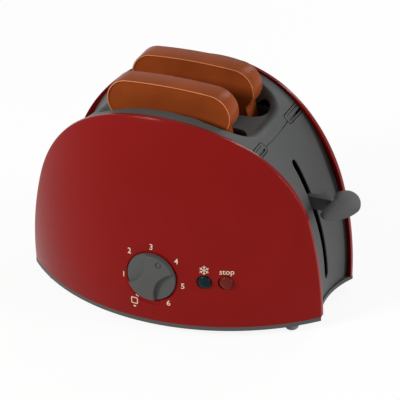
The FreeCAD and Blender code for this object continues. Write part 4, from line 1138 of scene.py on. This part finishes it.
CAD_LOOKS = {
    "grey_satin_plastic": ["base_plate"],
    "foot_rubber": ["feet"],
    "inner_black_plastic": ["front_slot_liner", "rear_slot_liner", "carriage"]
    + ["click_wheel", "latch_pawl"],
    "drawn_steel": ["base_screws", "guide_rod", "return_spring", "click_spring"]
    + ["dial_retainer", "stop_spring", "defrost_spring", "latch_pin"],
}


class TOASTER_OT_inner_parts(bpy.types.Operator):
    """Finishes the base, the feet and the works inside"""

    bl_idname = "toaster.inner_parts"
    bl_label = "Base and works"

    def execute(self, context):
        for look, nodes in CAD_LOOKS.items():
            for node in nodes:
                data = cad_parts[node].data
                data.materials.clear()
                data.materials.append(coat(look))
        return {"FINISHED"}


def seen(tree):
    """Socket that is 1 for rays from the eye, from glossy surfaces and through clear ones."""
    path = tree.nodes.new("ShaderNodeLightPath")
    source = path.outputs["Is Camera Ray"]
    for name in ("Is Glossy Ray", "Is Transmission Ray"):
        either = tree.nodes.new("ShaderNodeMath")
        either.operation = "MAXIMUM"
        tree.links.new(source, either.inputs[0])
        tree.links.new(path.outputs[name], either.inputs[1])
        source = either.outputs[0]
    return source


def either_of(tree, switch, low, high):
    """Socket that gives one value where the switch is 0 and another where it is 1."""
    node = tree.nodes.new("ShaderNodeMapRange")
    tree.links.new(switch, node.inputs["Value"])
    node.inputs["To Min"].default_value = low
    node.inputs["To Max"].default_value = high
    return node.outputs["Result"]


def floor_material():
    """Floor that shows as white to the eye and to glossy pieces, and still takes a shadow."""
    material, shader = new_material("studio_floor")
    if shader:
        tree = material.node_tree
        shader.inputs["Base Color"].default_value = (*colours().floor, 1)
        shader.inputs["Roughness"].default_value = 0.9
        shader.inputs["Specular IOR Level"].default_value = 0.0
        glow = tree.nodes.new("ShaderNodeEmission")
        glow.inputs["Strength"].default_value = 1.05
        share = either_of(tree, seen(tree), 0.0, FLOOR_GLOW)
        mix = tree.nodes.new("ShaderNodeMixShader")
        tree.links.new(share, mix.inputs["Fac"])
        tree.links.new(shader.outputs["BSDF"], mix.inputs[1])
        tree.links.new(glow.outputs["Emission"], mix.inputs[2])
        tree.links.new(mix.outputs["Shader"], tree.nodes["Material Output"].inputs["Surface"])
    return material


def add_lamp(name, place, aim, size, power, tint=(1, 1, 1)):
    """A flat lamp of so many metres by metres that faces a place."""
    start()
    bpy.ops.object.light_add(type="AREA", location=place)
    lamp = bpy.context.object
    lamp.name = name
    lamp.data.shape = "RECTANGLE"
    lamp.data.size, lamp.data.size_y = size
    lamp.data.energy = power
    lamp.data.color = tint
    lamp.rotation_mode = "QUATERNION"
    lamp.rotation_quaternion = (aim - Vector(place)).to_track_quat("-Z", "Y")


FLOOR_GLOW, WORLD_LIGHT = 0.85, 0.24
CAMERA_AZIMUTH, CAMERA_ELEVATION, CAMERA_ROLL = 24.094, 29.478, -1.203
CAMERA_DISTANCE, CAMERA_LENS = 1.7663, 261.97
CAMERA_SLIDE = (0.005186, -0.011507)
CAMERA_TARGET = at(0, 0, 68)


def add_camera():
    """Camera with a long lens, from the front right and above."""
    a, e = math.radians(CAMERA_AZIMUTH), math.radians(CAMERA_ELEVATION)
    back = Vector((math.sin(a) * math.cos(e), -math.cos(a) * math.cos(e), math.sin(e)))
    right = Vector((math.cos(a), math.sin(a), 0))
    up = back.cross(right)
    r = math.radians(CAMERA_ROLL)
    right, up = right * math.cos(r) + up * math.sin(r), up * math.cos(r) - right * math.sin(r)
    place = CAMERA_TARGET + back * CAMERA_DISTANCE + right * CAMERA_SLIDE[0] + up * CAMERA_SLIDE[1]
    start()
    bpy.ops.object.camera_add(location=place)
    camera = bpy.context.object
    camera.name = "toaster_camera"
    camera.rotation_mode = "QUATERNION"
    camera.rotation_quaternion = Matrix((right, up, back)).transposed().to_quaternion()
    camera.data.sensor_width = 36
    camera.data.lens = CAMERA_LENS
    camera.data.clip_start, camera.data.clip_end = 0.05, 50
    bpy.context.scene.camera = camera


def world_light():
    """Even white surroundings that show as pure white behind the object."""
    world = bpy.context.scene.world or bpy.data.worlds.new("World")
    bpy.context.scene.world = world
    world.use_nodes = True
    tree = world.node_tree
    background = tree.nodes["Background"]
    strength = either_of(tree, seen(tree), WORLD_LIGHT, 1.0)
    tree.links.new(strength, background.inputs["Strength"])
    background.inputs["Color"].default_value = (1, 1, 1, 1)


class TOASTER_OT_stage(bpy.types.Operator):
    """Floor, lamps, surroundings and camera"""

    bl_idname = "toaster.stage"
    bl_label = "Stage"

    def execute(self, context):
        start()
        bpy.ops.mesh.primitive_plane_add(size=12, location=(0, 0, 0))
        floor = name_piece("floor")
        floor.data.materials.append(floor_material())
        target = at(0, 0, 60)
        add_lamp("key_lamp", (-0.75, -1.1, 0.8), target, (0.45, 0.35), 14.4, (1, 0.985, 0.95))
        add_lamp("side_lamp", (1.5, 0.1, 0.5), target, (0.5, 0.6), 10.5)
        add_lamp("back_lamp", (0.25, 0.8, 0.6), target, (0.14, 0.4), 1.6)
        world_light()
        add_camera()
        context.scene.view_settings.view_transform = "Standard"
        return {"FINISHED"}


class TOASTER_PT_panel(bpy.types.Panel):
    """Lists the toaster's sizes, colours and pieces"""

    bl_idname = "TOASTER_PT_panel"
    bl_label = "Toy Toaster"
    bl_space_type = "VIEW_3D"
    bl_region_type = "UI"
    bl_category = "Toaster"

    def draw(self, context):
        for group in (context.scene.toaster_sizes, context.scene.toaster_colours):
            box = self.layout.box()
            for name in group.__annotations__:
                box.prop(group, name)
        for operator in OPERATORS:
            self.layout.operator(operator.bl_idname)


OPERATORS = (
    TOASTER_OT_front_panel,
    TOASTER_OT_rear_panel,
    TOASTER_OT_top_cover,
    TOASTER_OT_end_walls,
    TOASTER_OT_toast,
    TOASTER_OT_lever,
    TOASTER_OT_dial,
    TOASTER_OT_buttons,
    TOASTER_OT_signs,
    TOASTER_OT_inner_parts,
    TOASTER_OT_stage,
)
CLASSES = (ToasterSizes, ToasterColours, *OPERATORS, TOASTER_PT_panel)


def register():
    for kind in CLASSES:
        bpy.utils.register_class(kind)
    bpy.types.Scene.toaster_sizes = PointerProperty(type=ToasterSizes)
    bpy.types.Scene.toaster_colours = PointerProperty(type=ToasterColours)


def unregister():
    del bpy.types.Scene.toaster_colours
    del bpy.types.Scene.toaster_sizes
    for kind in reversed(CLASSES):
        bpy.utils.unregister_class(kind)


def main():
    register()
    bpy.ops.toaster.front_panel()
    bpy.ops.toaster.rear_panel()
    bpy.ops.toaster.top_cover()
    bpy.ops.toaster.end_walls()
    bpy.ops.toaster.toast()
    bpy.ops.toaster.lever()
    bpy.ops.toaster.dial()
    bpy.ops.toaster.buttons()
    bpy.ops.toaster.signs()
    bpy.ops.toaster.inner_parts()
    bpy.ops.toaster.stage()


if __name__ == "__main__":
    main()
